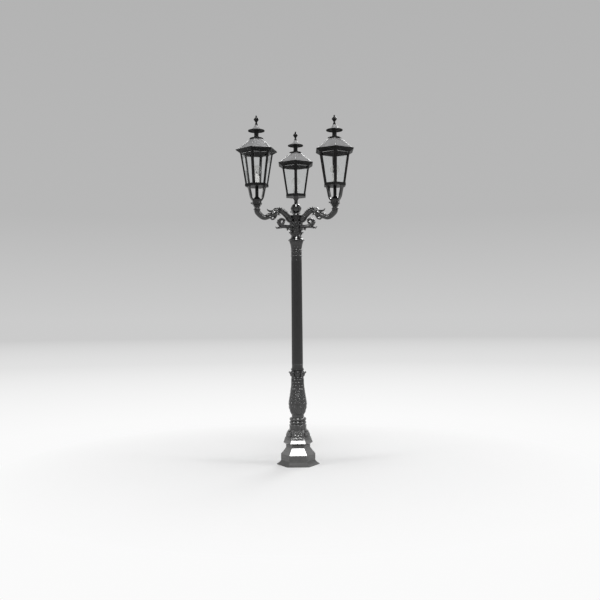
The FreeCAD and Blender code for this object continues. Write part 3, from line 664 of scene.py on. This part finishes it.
# arms: a dolphin's body arches out from the hub, and its mouth holds the pipe that carries the lantern;
# points are reach and rise from the arm's seat on the hub
armLook = {
    "flange": (0.0541, 0.064), "flangeHalf": (0.025, 0.031), "root": (0.060, 0.0), "sheathRoot": (0.062, 0.0),
    "shoulder": (0.102, 0.042), "crest": (0.184, 0.091), "mouth": (0.270, 0.045), "belly": (0.356, 0.014),
    "elbow": (0.013, 0.054), "bodyRadii": [0.029, 0.028, 0.026, 0.030, 0.026],
    "pipeRadii": [0.020, 0.023, 0.025, 0.028, 0.029], "voxel": 0.0021,
    "socketRadius": 0.035, "socketRise": 0.084, "socketHeight": 0.048, "spigotRadius": 0.0245,
    "spigotTop": 0.180, "bore": 0.010,
    "finCount": 7, "finFirst": 22, "finStep": 4, "finFoot": 0.020, "finRadii": [0.008, 0.006, 0.002],
    "scaleLength": 0.013, "scaleRelief": 0.0016, "scaleFirst": 14, "scaleLast": 40, "scaleFade": 4,
    "scaleGirth": 0.027, "scaleEnd": 0.225,
}
# head, measured from the mouth: jaws and brow as points, radii, breadth and rings
headLook = {
    "upperJaw": ([(-0.034, 0.036), (0.016, 0.034), (0.044, 0.040), (0.058, 0.055)],
                 [0.021, 0.013, 0.009, 0.0035], 1.25, 30),
    "lowerJaw": ([(-0.038, 0.0), (-0.024, -0.032), (0.002, -0.044), (0.024, -0.028)],
                 [0.014, 0.010, 0.008, 0.005], 1.7, 30),
    "brow": ([(-0.052, 0.058), (-0.036, 0.062), (-0.012, 0.050)], [0.006, 0.011, 0.005], 2.1, 16),
    "eye": (-0.030, 0.024, 0.039), "eyeRadius": 0.0085, "lidRadii": [0.003, 0.0045, 0.003],
    "gillRoot": (-0.030, 0.020, 0.014), "gillWidth": 0.033, "gillRadii": [0.008, 0.0075, 0.0025],
    "gills": [(0.012, 0.046), (0.0, 0.056), (-0.012, 0.044)],
}
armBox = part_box("arm_rear")
armReach = armBox[1][1] - armLook["socketRadius"]
armSeat = armBox[1][2] - armLook["spigotTop"]
armDirections = {"right": math.radians(-30), "left": math.radians(210), "rear": math.radians(90)}


def inArm(points, base=(0.0, 0.0)):
    return [(base[0] + x, 0, armSeat + base[1] + z) for x, z in points]


def dolphinArm(look, head):
    form = bmesh.new()
    mouth = look["mouth"]
    near, far = look["flange"]
    halfWidth, halfHeight = look["flangeHalf"]
    addBlock(form, (near, -halfWidth, armSeat - halfHeight), (far, halfWidth, armSeat + halfHeight))
    body = inArm([look["root"], look["shoulder"], look["crest"], mouth])
    spine = addLimb(form, body, look["bodyRadii"], 1.0, 60, 32)
    pipe = inArm([(mouth[0] - 0.020, mouth[1] + 0.010), look["belly"],
                  (armReach - look["elbow"][0], look["elbow"][1]), (armReach, look["socketRise"])])
    addLimb(form, pipe, look["pipeRadii"], 1.0, 60, 32)
    for part in ("upperJaw", "lowerJaw", "brow"):
        points, radii, breadth, rings = head[part]
        addLimb(form, inArm(points, mouth), radii, breadth, rings)
    for way in (1, -1):
        addCheek(form, mouth[0], armSeat + mouth[1], way, head)
    # fin down the back
    for i in range(look["finCount"]):
        index = look["finFirst"] + look["finStep"] * i
        ahead = (spine[index + 1] - spine[index - 1]).normalized()
        up = Vector((-ahead.z, 0, ahead.x))
        foot = spine[index] + up * look["finFoot"]
        fin = [foot, foot + up * 0.010 - ahead * 0.004, foot + up * 0.017 - ahead * 0.014]
        addLimb(form, fin, look["finRadii"], 0.6, 12, 12)
    # leaf sheath where the pipe leaves the mouth, and one at the root
    addSheath(form, inArm([mouth, look["belly"]]), 0.16, 0.70, 0.0235, 5)
    addSheath(form, inArm([look["sheathRoot"], look["shoulder"]]), 0.05, 0.95, 0.0295, 6)
    return form, spine


# eye with its lid, and the gill fins swept back along the cheek
def addCheek(form, mouthX, mouthZ, way, head):
    x, y, z = head["eye"]
    eye = (mouthX + x, way * y, mouthZ + z)
    addBall(form, eye, (head["eyeRadius"],) * 3)
    lid = [(eye[0] - 0.012, eye[1], eye[2] + 0.004), (eye[0], eye[1] * 1.06, eye[2] + 0.012),
           (eye[0] + 0.014, eye[1] * 0.95, eye[2] + 0.004)]
    addLimb(form, lid, head["lidRadii"], 1.0, 12, 12)
    for lift, length in head["gills"]:
        x, y, z = head["gillRoot"]
        width = way * head["gillWidth"]
        root = (mouthX + x, way * y, mouthZ + z + lift * 0.6)
        tip = (root[0] - length, width, root[2] + 0.006 + lift * 1.4)
        middle = ((root[0] + tip[0]) / 2, width, (root[2] + tip[2]) / 2 + 0.002)
        addLimb(form, [root, middle, tip], head["gillRadii"], 0.75, 14, 14, Vector((0, way, 0)))


# pointed leaves laid round a limb, from one share of a line to another
def addSheath(form, line, start, end, radius, count):
    low = Vector(line[0]).lerp(Vector(line[1]), start)
    high = Vector(line[0]).lerp(Vector(line[1]), end)
    ahead = (high - low).normalized()
    side = Vector((0, 1, 0))
    up = side.cross(ahead)
    thick, thin = 0.0045, 0.0012
    breadth = radius * 0.22 / thick * 2.2
    for i in range(count):
        angle = 2 * math.pi * (i + 0.5) / count
        out = side * math.cos(angle) + up * math.sin(angle)
        points = [low + out * radius * 0.9, low.lerp(high, 0.5) + out * (radius + 0.0015),
                  high + out * (radius + 0.001)]
        addLimb(form, points, [thick, thick, thin], breadth, 14, 16, ahead.cross(out))


def addScales(mesh, spine, look):
    lengths = runLengths(spine)
    first, last, fadeOver = look["scaleFirst"], look["scaleLast"], look["scaleFade"]
    for vertex in mesh.vertices:
        if vertex.co.x > look["scaleEnd"]:
            continue
        index = min(range(len(spine)), key=lambda k: (spine[k] - vertex.co).length_squared)
        if index < first or index > last:
            continue
        offset = vertex.co - spine[index]
        ahead = (spine[index + 1] - spine[index - 1]).normalized()
        up = Vector((-ahead.z, 0, ahead.x))
        along = lengths[index] + offset.dot(ahead)
        angle = math.atan2(offset.y, offset.dot(up))
        across = angle * look["scaleGirth"] / look["scaleLength"]
        row = along / look["scaleLength"]
        pattern = abs(math.sin(math.pi * (row + across)) * math.sin(math.pi * (row - across))) ** 0.5
        fade = min(1.0, (index - first) / fadeOver, (last - index) / fadeOver)
        vertex.co += vertex.normal * look["scaleRelief"] * fade * (pattern - 0.5)


def socketProfile(look):
    low = armSeat + look["socketRise"]
    top = low + look["socketHeight"]
    end, bead, spigot, bore = look["pipeRadii"][-1], look["socketRadius"], look["spigotRadius"], look["bore"]
    return traced([
        (bore, low - 0.004), (end, low - 0.004), (end, low), (bead, low + 0.005, "on"), (end, low + 0.010),
        (end - 0.003, low + 0.014), (end - 0.003, top - 0.020), (bead - 0.003, top - 0.017),
        (bead, top - 0.014), (bead, top - 0.002), (bead - 0.002, top), (spigot, top),
        (spigot, top + 0.047), (spigot - 0.001, top + 0.048), (bore, top + 0.048),
    ], 0.0025)


# a piece made along +X, copied and turned to each arm's direction; the rear one is the piece itself
def toEachArm(piece, node):
    for side in sides:
        copy = piece
        if side != "rear":
            copy = piece.copy()
            copy.data = piece.data.copy()
            copy.name = piece.name.replace("rear", side)
            bpy.context.collection.objects.link(copy)
        copy.data.transform(Matrix.Rotation(armDirections[side], 4, "Z"))
        rideOnPost(copy, node + side)


def makeArms(look, head):
    form, spine = dolphinArm(look, head)
    arm = melted("arm_rear_cast", form, look["voxel"], "post_iron")
    addScales(arm.data, spine, look)
    socket = turnedGrid("arm_rear_socket", socketProfile(look), 72, "post_iron")
    socket.data.transform(Matrix.Translation((armReach, 0, 0)))
    toEachArm(arm, "arm_")
    toEachArm(socket, "arm_")
    print("arms", len(arm.data.polygons), "faces each")


makeArms(armLook, headLook)


# scrolls under the arms: a reeded band that curls in on itself, with a leaf and a bud;
# points are reach and rise from the scroll's seat, which lies below the arm's
scrollLook = {
    "seat": -0.058, "flange": (0.0541, 0.064), "flangeHalf": 0.025, "voxel": 0.002,
    "band": [(0.060, 0.0), (0.114, -0.004), (0.166, 0.003), (0.197, 0.033), (0.172, 0.067),
             (0.137, 0.058), (0.146, 0.033)],
    "radii": [0.018, 0.022, 0.023, 0.016, 0.009], "reedGap": 0.0105, "curlEnd": (0.013, 0.019, 0.013),
    "leaf": [(0.137, -0.006), (0.196, -0.017), (0.222, -0.020), (0.237, -0.012)],
    "leafRadii": [0.016, 0.012, 0.008, 0.003],
    "leaflets": [(0.150, -0.010, 0.030), (0.178, -0.015, 0.026), (0.204, -0.018, 0.020)],
    "leafletRadii": [0.007, 0.0065, 0.002],
    "climbing": [(0.186, 0.008, 0.6), (0.203, 0.028, 0.2), (0.199, 0.052, -0.3)],
    "climbingRadii": [0.008, 0.007, 0.003],
    "bud": (0.098, -0.025), "budRadii": (0.012, 0.012, 0.013), "budTip": (0.006, 0.006, 0.007),
}


def makeScrolls(look):
    form = bmesh.new()
    seat = armSeat + look["seat"]
    near, far = look["flange"]
    half = look["flangeHalf"]
    addBlock(form, (near, -half, seat - half), (far, half, seat + half))
    line = [(x, 0, seat + z) for x, z in look["band"]]
    for way in (-1, 0, 1):
        reed = [(x, way * look["reedGap"], z) for x, _, z in line]
        share, breadth = (0.86, 0.8) if way == 0 else (0.70, 1.0)
        addLimb(form, reed, [share * r for r in look["radii"]], breadth, 70, 24)
    addBall(form, line[-1], look["curlEnd"])
    addLimb(form, [(x, 0, seat + z) for x, z in look["leaf"]], look["leafRadii"], 1.7, 30)
    for x, drop, length in look["leaflets"]:
        for way in (-1, 1):
            root = Vector((x, way * 0.008, seat + drop))
            end = root + Vector((length * 0.7, way * length * 0.62, -0.008))
            middle = root.lerp(end, 0.5) + Vector((0, 0, -0.004))
            addLimb(form, [root, middle, end], look["leafletRadii"], 0.8, 12, 12)
    x, drop = look["bud"]
    addBall(form, (x, 0, seat + drop), look["budRadii"])
    addBall(form, (x + 0.004, 0, seat + drop - 0.012), look["budTip"])
    # leaf that climbs the outside of the curl
    for i, (x, z, lift) in enumerate(look["climbing"]):
        for way in (-1, 1):
            root = Vector((x, way * 0.010, seat + z))
            end = root + Vector((0.010 - 0.004 * i, way * 0.013, 0.012 + 0.004 * lift))
            addLimb(form, [root, root.lerp(end, 0.5), end], look["climbingRadii"], 0.9, 10, 12)
    scroll = melted("scroll_rear_cast", form, look["voxel"], "post_iron", 2)
    toEachArm(scroll, "scroll_")
    print("scrolls", len(scroll.data.polygons), "faces each")


makeScrolls(scrollLook)


# capital: two beads with a ring of leaves between them, a leaf-covered bell and a rounded abacus
capitalLook = {
    "bore": 0.036, "core": 0.050, "bead": 0.058, "beadHeight": 0.016, "gap": 0.044, "bell": 0.069,
    "bellHeight": 0.082, "bellHollow": 0.005, "abacus": 0.082, "edge": 0.008, "round": 0.002,
    "hubFoot": 0.063, "segments": 240, "spacing": 0.0022,
    "leaves": {"count": 12, "start": front, "rise": 0.002, "height": 0.078, "halfWidth": 0.0155,
               "relief": 0.0045, "lobes": 4},
    "blades": {"count": 12, "start": math.radians(-75), "rise": 0.022, "height": 0.056, "halfWidth": 0.0120,
               "relief": 0.0035, "lobes": 3},
    "collar": {"count": 16, "start": 0.0, "rise": 0.020, "height": 0.036, "halfWidth": 0.0085,
               "relief": 0.0030, "lobes": 2},
}


def makeCapital(look):
    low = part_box("capital")[0][2]
    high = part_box("capital")[1][2]
    core, bead, beadHeight, bell = look["core"], look["bead"], look["beadHeight"], look["bell"]
    abacus, soft = look["abacus"], look["round"]
    second = low + beadHeight + look["gap"]
    bellLow = second + beadHeight
    bellHigh = bellLow + look["bellHeight"]
    edgeTop = bellHigh + look["edge"]
    profile = traced([
        (look["bore"], low), (core, low), (bead, low + beadHeight / 2, "on"), (core, low + beadHeight),
        (core, second), (bead, second + beadHeight / 2, "on"), (core, bellLow),
        (core + look["bellHollow"], bellLow + look["bellHeight"] / 2, "on"), (bell - 0.003, bellHigh - 0.002),
        (bell, bellHigh), (abacus - soft, bellHigh), (abacus, bellHigh + soft), (abacus, edgeTop - soft),
        (abacus - soft, edgeTop),
        ((abacus + look["hubFoot"]) / 2 + soft, (edgeTop + high) / 2 + soft, "on"),
        (look["hubFoot"], high), (look["bore"], high),
    ], look["spacing"])

    def relief(angle, radius, height):
        if bellLow < height < bellHigh - 0.001:
            return max(leafTier(angle, radius, height, look[tier], bellLow) for tier in ("leaves", "blades"))
        if low + beadHeight < height < second:
            return leafTier(angle, radius, height, look["collar"], low)
        return 0.0

    piece = turnedGrid("capital_carved", profile, look["segments"], "post_iron", relief, 50.0)
    rideOnPost(piece, "capital")
    print("capital", len(piece.data.polygons), "faces")


makeCapital(capitalLook)


# acanthus on the hub, between the arms: lobes rise from one stalk, spread into a V and curl out at the top;
# each lobe has its start, spread and rise
hubLook = {
    "radius": 0.049, "low": 0.030, "high": 0.208, "voxel": 0.0018,
    "stalk": [(0.0, 0.0), (0.004, 0.4), (0.003, 0.8)], "stalkRadii": [0.005, 0.0075, 0.004],
    "lobes": [(0.04, 0.30, 0.16), (0.20, 0.42, 0.19), (0.37, 0.52, 0.22), (0.53, 0.60, 0.26),
              (0.66, 0.30, 0.30)],
    "lobeRadii": [0.004, 0.0075, 0.0080, 0.0065, 0.0035],
}


def makeHubLeaves(look):
    form = bmesh.new()
    skin = look["radius"]
    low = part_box("crown_hub")[0][2] + look["low"]
    tall = look["high"] - look["low"]
    stalk = [onDrum(skin + lift, front, low + tall * share) for lift, share in look["stalk"]]
    addLimb(form, stalk, look["stalkRadii"], 1.2, 24, 16, Vector((1, 0, 0)))
    for way in (-1, 1):
        for start, spreadOut, rise in look["lobes"]:
            top = low + tall * (start + rise)
            bend = low + tall * (start + rise * 0.35)
            points = [onDrum(skin, front + way * 0.04, low + tall * start),
                      onDrum(skin + 0.004, front + way * spreadOut * 0.55, bend),
                      onDrum(skin + 0.009, front + way * spreadOut, top - 0.004),
                      onDrum(skin + 0.019, front + way * spreadOut * 1.05, top),
                      onDrum(skin + 0.023, front + way * spreadOut * 1.05, top - 0.006)]
            addLimb(form, points, look["lobeRadii"], 1.0, 24, 14)
    leaves = melted("hub_leaves", form, look["voxel"], "post_iron", 1)
    ringed(leaves, "post_iron", 3)
    rideOnPost(leaves)
    print("hub leaves", len(leaves.data.polygons))


makeHubLeaves(hubLook)


# palmettes on the six sides of the pedestal's flare, over two beads round its foot
palmetteLook = {
    "corner": 0.136, "top": 0.093, "lowZ": 0.245, "highZ": 0.345, "root": 0.293, "voxel": 0.0016,
    "lobes": 7, "lobeStep": 26, "lobeLength": 0.046, "shorter": 0.014,
    "lobeRadii": [0.0030, 0.0060, 0.0066, 0.0042], "tipRadii": (0.0115, 0.0095, 0.0026),
    "curl": [(0.0, -0.002, 0.0), (0.012, -0.010, 0.003), (0.026, -0.010, 0.004), (0.031, 0.0, 0.005),
             (0.024, 0.006, 0.005), (0.020, 0.0, 0.006)],
    "curlRadii": [0.004, 0.0046, 0.0044, 0.0040, 0.0036, 0.0040],
    "boss": (0.0120, 0.0120, 0.0040), "tipLean": math.radians(69),
    "beads": [(0.253, 0.0040), (0.268, 0.0062)],
}


# distance from the axis to the flare's skin, which turns from a hexagon into a circle on its way up
def flareReach(look, angle, height):
    share = (height - look["lowZ"]) / (look["highZ"] - look["lowZ"])
    sixth = math.pi / 3
    hexagon = look["corner"] * math.cos(sixth / 2) / math.cos(angle % sixth - sixth / 2)
    return hexagon * (1 - share) + look["top"] * share


def makePalmettes(look):
    form = bmesh.new()
    root = look["root"]
    middle = look["lobes"] // 2

    def onFlare(across, height, lift=0.0):
        angle = across / look["top"]
        return onDrum(flareReach(look, angle + math.pi / 6, height) + lift, angle, height)

    for i in range(look["lobes"]):
        angle = math.radians(look["lobeStep"] * (i - middle))
        length = look["lobeLength"] - look["shorter"] * abs(i - middle) / middle
        across, high = math.sin(angle) * length, root + math.cos(angle) * length
        points = [onFlare(across * 0.12, root + 0.004),
                  onFlare(across * 0.6, root + (high - root) * 0.6, 0.004),
                  onFlare(across, high, 0.005), onFlare(across * 1.03, high - 0.001, 0.011)]
        addLimb(form, points, look["lobeRadii"], 1.15, 18, 14)
        addBall(form, onFlare(across * 0.97, high - 0.003, 0.0085), look["tipRadii"], look["tipLean"])
    for way in (-1, 1):
        curl = [onFlare(way * across, root + rise, lift) for across, rise, lift in look["curl"]]
        addLimb(form, curl, look["curlRadii"], 1.0, 34, 12)
    addBall(form, onFlare(0.0, root, 0.008), look["boss"], look["tipLean"])
    palmettes = melted("pedestal_palmettes", form, look["voxel"], "post_iron", 1)
    ringed(palmettes, "post_iron", 6, front)
    rideOnPost(palmettes)
    for i, (height, radius) in enumerate(look["beads"]):
        bead = flareBead("pedestal_bead_" + str(i + 1), look, height, radius)
        rideOnPost(bead)
    print("palmettes", len(palmettes.data.polygons))


def flareBead(name, look, height, radius, steps=180, around=14):
    verts, faces = [], []
    for i in range(steps):
        angle = 2 * math.pi * i / steps
        here, there = i * around, (i + 1) % steps * around
        for j in range(around):
            turn = 2 * math.pi * j / around
            reach = flareReach(look, angle, height) + radius * math.cos(turn)
            verts.append(onDrum(reach, angle, height + radius * math.sin(turn)))
            k = (j + 1) % around
            faces.append((here + j, there + j, there + k, here + k))
    return putMesh(name, verts, faces, "post_iron", 60.0)


makePalmettes(palmetteLook)


# lanterns: hoods with hip rolls of pale metal, their tone raised as a painted highlight, and painted shade on
# the insides, and thin bulbs with their wire; a roof's face that points outwards by less than roofFacing is
# painted near black as shade, and so is a hat's that points up by less than hatFacing
lanternTurns = {"right": math.radians(-30), "left": math.radians(197), "rear": math.radians(90)}
hoodLook = {"hipFoot": 0.1795, "hipTop": 0.062, "hipRadius": 0.0048, "lift": 0.0015, "roofFacing": 0.02,
            "hatFacing": 0.35}
bulbLook = {"neck": 0.017, "neckHeight": 0.018, "radius": 0.044, "wall": 0.0007, "globeRows": 40,
            "segments": 48, "collarLift": 0.0004, "collarFoot": 0.0150, "collarWall": 0.0012,
            "collarBore": 0.010, "stemFoot": 0.005, "stem": 0.003, "wire": 0.0006, "coil": 0.016,
            "coilPoints": 9, "coilStep": 30, "coilLow": 0.002, "coilHigh": 0.010}


def lanternAxis(side):
    low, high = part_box(side + "_lampholder")
    return Vector(((low[0] + high[0]) / 2, (low[1] + high[1]) / 2, 0))


# a sheet copied from its node, with the faces that the rule names marked for painted shade, a near-black
# colour
def darkenedSheet(side, node, rule):
    mesh = frame["nodes"][side + "_" + node].data.copy()
    sheet = settleMesh(side + "_" + node + "_sheet", mesh, "roof_sheet", 30.0)
    inside = mesh.attributes.new("inside", "FLOAT", "FACE")
    for face in mesh.polygons:
        inside.data[face.index].value = 1.0 if rule(face) else 0.0
    rideOn(sheet, side + "_hood", "roof_sheet", side + "_" + node)


def makeHood(side, look):
    axis = lanternAxis(side)

    def looksIn(face):
        outward = face.center - axis
        outward.z = 0
        return face.normal.dot(outward.normalized()) < look["roofFacing"]

    # painted shade on the roof's faces that look inwards and on the hat's edge and underside
    darkenedSheet(side, "roof", looksIn)
    darkenedSheet(side, "vent_hat", lambda face: face.normal.z < look["hatFacing"])
    # hip rolls along the roof's hips; their pale tone is partly a painted highlight
    low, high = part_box(side + "_roof")
    lift, radius = look["lift"], look["hipRadius"]
    form = bmesh.new()
    hip = [(look["hipFoot"], 0, low[2] + lift + radius), (look["hipTop"], 0, high[2] + lift - radius)]
    addLimb(form, hip, [radius, radius], 1.0, 12, 16)
    hips = putForm(side + "_hips", form, "hip")
    ringed(hips, "hip", 6, lanternTurns[side], axis)
    rideOn(hips, side + "_hood", "roof_sheet")


def makeBulb(side, look):
    axis = lanternAxis(side)
    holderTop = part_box(side + "_lampholder")[1][2]
    neckTop = holderTop + look["neckHeight"]
    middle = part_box(side + "_bulb")[1][2] - look["radius"]

    def globe(inset):
        radius, neck = look["radius"] - inset, look["neck"] - inset
        foot = math.acos(-math.sqrt(radius ** 2 - neck ** 2) / radius)
        rows = look["globeRows"]
        angles = [foot * i / rows for i in range(1, rows + 1)]
        return [(radius * math.sin(a), middle + radius * math.cos(a)) for a in angles]

    shell = globe(0.0) + globe(look["wall"])[::-1]
    glass = turnedGrid(side + "_bulb_glass", shell, look["segments"], "bulb_glass", None, 60.0)
    footZ = holderTop + look["collarLift"]
    wide = look["neck"] + look["collarWall"]
    collarProfile = traced([
        (look["collarBore"], footZ), (look["collarFoot"], footZ), (wide, holderTop + 0.006),
        (wide, neckTop - 0.001), (look["neck"] - 0.001, neckTop + 0.001), (0.004, neckTop + 0.001),
    ], 0.002)
    collar = turnedGrid(side + "_bulb_collar", collarProfile, look["segments"], "porcelain")
    wire = bulbWire(side, look, neckTop, middle)
    rideOnLantern(glass, side, axis, "bulb_glass", side + "_bulb")
    rideOnLantern(collar, side, axis, "porcelain")
    rideOnLantern(wire, side, axis, "steel")
    glass.visible_shadow = False


# stem with a zigzag of wire on it, held up at both ends
def bulbWire(side, look, neckTop, middle):
    form = bmesh.new()
    addLimb(form, [(0, 0, neckTop), (0, 0, middle - 0.012)], [look["stemFoot"], look["stem"]], 1.0, 10, 12)
    thin = [look["wire"], look["wire"]]
    coil = []
    for i in range(look["coilPoints"]):
        angle = math.radians(look["coilStep"] * (i - look["coilPoints"] // 2))
        height = middle + (look["coilHigh"] if i % 2 else look["coilLow"])
        coil.append((look["coil"] * math.sin(angle), look["coil"] * math.cos(angle), height))
    addLimb(form, coil, thin, 1.0, 90, 8, Vector((0.3, 0.2, 1)))
    for end in (coil[0], coil[-1]):
        prop = [(0, 0, middle - 0.014), (end[0] * 0.5, end[1] * 0.5, middle - 0.006), end]
        addLimb(form, prop, thin, 1.0, 14, 8, Vector((0.2, 1, 0.1)))
    return putForm(side + "_bulb_wire", form, "steel")


def rideOnLantern(piece, side, axis, slot, *nodes):
    piece.data.transform(Matrix.Translation(axis))
    rideOn(piece, side + "_lantern", slot, *nodes)


for side in sides:
    makeHood(side, hoodLook)
    makeBulb(side, bulbLook)
print("hoods and bulbs")


# floor and backdrop: tones are grey levels, floor distances are in metres from the post
stageLook = {
    "floorRadius": 60.0, "floorTone": 0.94, "floorRough": 0.9, "groundFrom": 0.5, "groundTo": 3.0,
    "groundTones": [(0.0, 0.55), (0.25, 0.06)], "glowFrom": 4.0, "glowTo": 50.0,
    "glowTones": [(0.0, 0.96), (0.30, 0.76), (1.0, 0.60)],
    "backdropTones": [(0.0, 0.60), (0.13, 0.48), (0.40, 0.45), (0.60, 0.10)],
    "skyTones": [(0.0, 0.10), (0.45, 0.22), (0.75, 0.45)],
}


def greyRamp(tree, field, stops):
    return colourRamp(tree, field, [(place, (tone,) * 3) for place, tone in stops])


# the rays that see the backdrop: the camera's, and those that metal mirrors and glass lets through
def seenRays(tree):
    path = addNode(tree, "ShaderNodeLightPath")
    share = path.outputs["Is Camera Ray"]
    for kind in ("Is Glossy Ray", "Is Transmission Ray"):
        share = combined(tree, "MAXIMUM", share, path.outputs[kind])
    return share


def mixedShaders(tree, share, first, second):
    mix = addNode(tree, "ShaderNodeMixShader")
    tree.links.new(share, mix.inputs["Fac"])
    tree.links.new(first, mix.inputs[1])
    tree.links.new(second, mix.inputs[2])
    return mix.outputs["Shader"]


# a floor that takes the shadow near the post and glows into the backdrop further off; to scattered light it
# is pale near the post and dark ground beyond
def layFloor(look):
    mesh = bpy.data.meshes.new("floor")
    form = bmesh.new()
    bmesh.ops.create_circle(form, cap_ends=True, segments=96, radius=look["floorRadius"])
    form.to_mesh(mesh)
    form.free()
    floor = bpy.data.objects.new("floor", mesh)
    bpy.context.collection.objects.link(floor)
    material, tree, shader = newMaterial("paleFloor")
    shader.inputs["Base Color"].default_value = (look["floorTone"],) * 3 + (1,)
    shader.inputs["Roughness"].default_value = look["floorRough"]
    reach = addNode(tree, "ShaderNodeVectorMath", operation="LENGTH")
    tree.links.new(objectPoint(tree), reach.inputs[0])
    distance = reach.outputs["Value"]
    far = spread(tree, distance, 0.0, 1.0, look["groundFrom"], look["groundTo"])
    away = spread(tree, distance, 0.0, 1.0, look["glowFrom"], look["glowTo"])
    glow = addNode(tree, "ShaderNodeEmission", {"Strength": 1.0})
    tree.links.new(greyRamp(tree, away, look["glowTones"]), glow.inputs["Color"])
    ground = addNode(tree, "ShaderNodeBsdfDiffuse")
    tree.links.new(greyRamp(tree, far, look["groundTones"]), ground.inputs["Color"])
    seen = mixedShaders(tree, far, shader.outputs["BSDF"], glow.outputs["Emission"])
    surface = mixedShaders(tree, seenRays(tree), ground.outputs["BSDF"], seen)
    tree.links.new(surface, tree.nodes["Material Output"].inputs["Surface"])
    mesh.materials.append(material)


# the backdrop's greys, and for scattered light a sky that is dim at the horizon and brighter overhead
def paintSky(look):
    world = bpy.data.worlds.new("studioSky")
    bpy.context.scene.world = world
    world.use_nodes = True
    tree = world.node_tree
    coords = addNode(tree, "ShaderNodeTexCoord")
    rise = spread(tree, upPart(tree, coords.outputs["Generated"]), 0.0, 1.0, 0.0, 1.0)
    mix = addNode(tree, "ShaderNodeMix", data_type="RGBA")
    tree.links.new(seenRays(tree), mix.inputs["Factor"])
    tree.links.new(greyRamp(tree, rise, look["skyTones"]), mix.inputs["A"])
    tree.links.new(greyRamp(tree, rise, look["backdropTones"]), mix.inputs["B"])
    tree.links.new(mix.outputs["Result"], tree.nodes["Background"].inputs["Color"])


# soft lamps, each with its place, aim, size and watts
lampLook = {
    "topSky": ((0.0, -1.2, 10.5), (0, 0, 2.0), (2.2, 1.8), 150),
    "frontSky": ((0.0, -5.9, 10.9), (0, 0, 0.2), (2.6, 2.4), 230),
    "lowSky": ((0.0, -10.3, 6.8), (0, 0, 0.2), (2.6, 1.6), 150),
    "leftSoftbox": ((-6.0, -2.6, 5.6), (0, 0, 1.9), (1.6, 2.6), 75),
    "rightSoftbox": ((6.0, -1.6, 5.2), (0, 0, 1.9), (1.4, 2.6), 85),
    "backSoftbox": ((2.5, 5.5, 6.5), (0, 0, 2.4), (2.2, 1.8), 125),
}


def hangLamps(look):
    for name, (place, aim, size, watts) in look.items():
        light = bpy.data.lights.new(name, "AREA")
        light.shape = "RECTANGLE"
        light.size, light.size_y = size
        light.energy = watts
        lamp = bpy.data.objects.new(name, light)
        lamp.location = place
        lamp.rotation_euler = (Vector(aim) - Vector(place)).to_track_quat("-Z", "Y").to_euler()
        lamp.visible_transmission = False  # no lamp shows through the panes
        bpy.context.collection.objects.link(lamp)


# camera where the photograph was taken from: it looks level, with the framing in its shift, and leans
# sideways by the picture's slight roll
cameraLook = {"place": (0.0, -7.67, 1.46), "sensor": 36.0, "lens": 46.0, "shiftX": 0.005, "shiftY": 0.03,
              "roll": -0.5}


def setCamera(look):
    data = bpy.data.cameras.new("camera")
    data.sensor_width = look["sensor"]
    data.lens = look["lens"]
    data.shift_x = look["shiftX"]
    data.shift_y = look["shiftY"]
    camera = bpy.data.objects.new("camera", data)
    camera.matrix_world = (
        Matrix.Translation(look["place"])
        @ Matrix.Rotation(math.radians(90), 4, "X")
        @ Matrix.Rotation(math.radians(look["roll"]), 4, "Z")
    )
    bpy.context.collection.objects.link(camera)
    bpy.context.scene.camera = camera


layFloor(stageLook)
paintSky(stageLook)
hangLamps(lampLook)
setCamera(cameraLook)
bpy.context.scene.view_settings.view_transform = "Standard"
print("stage set")
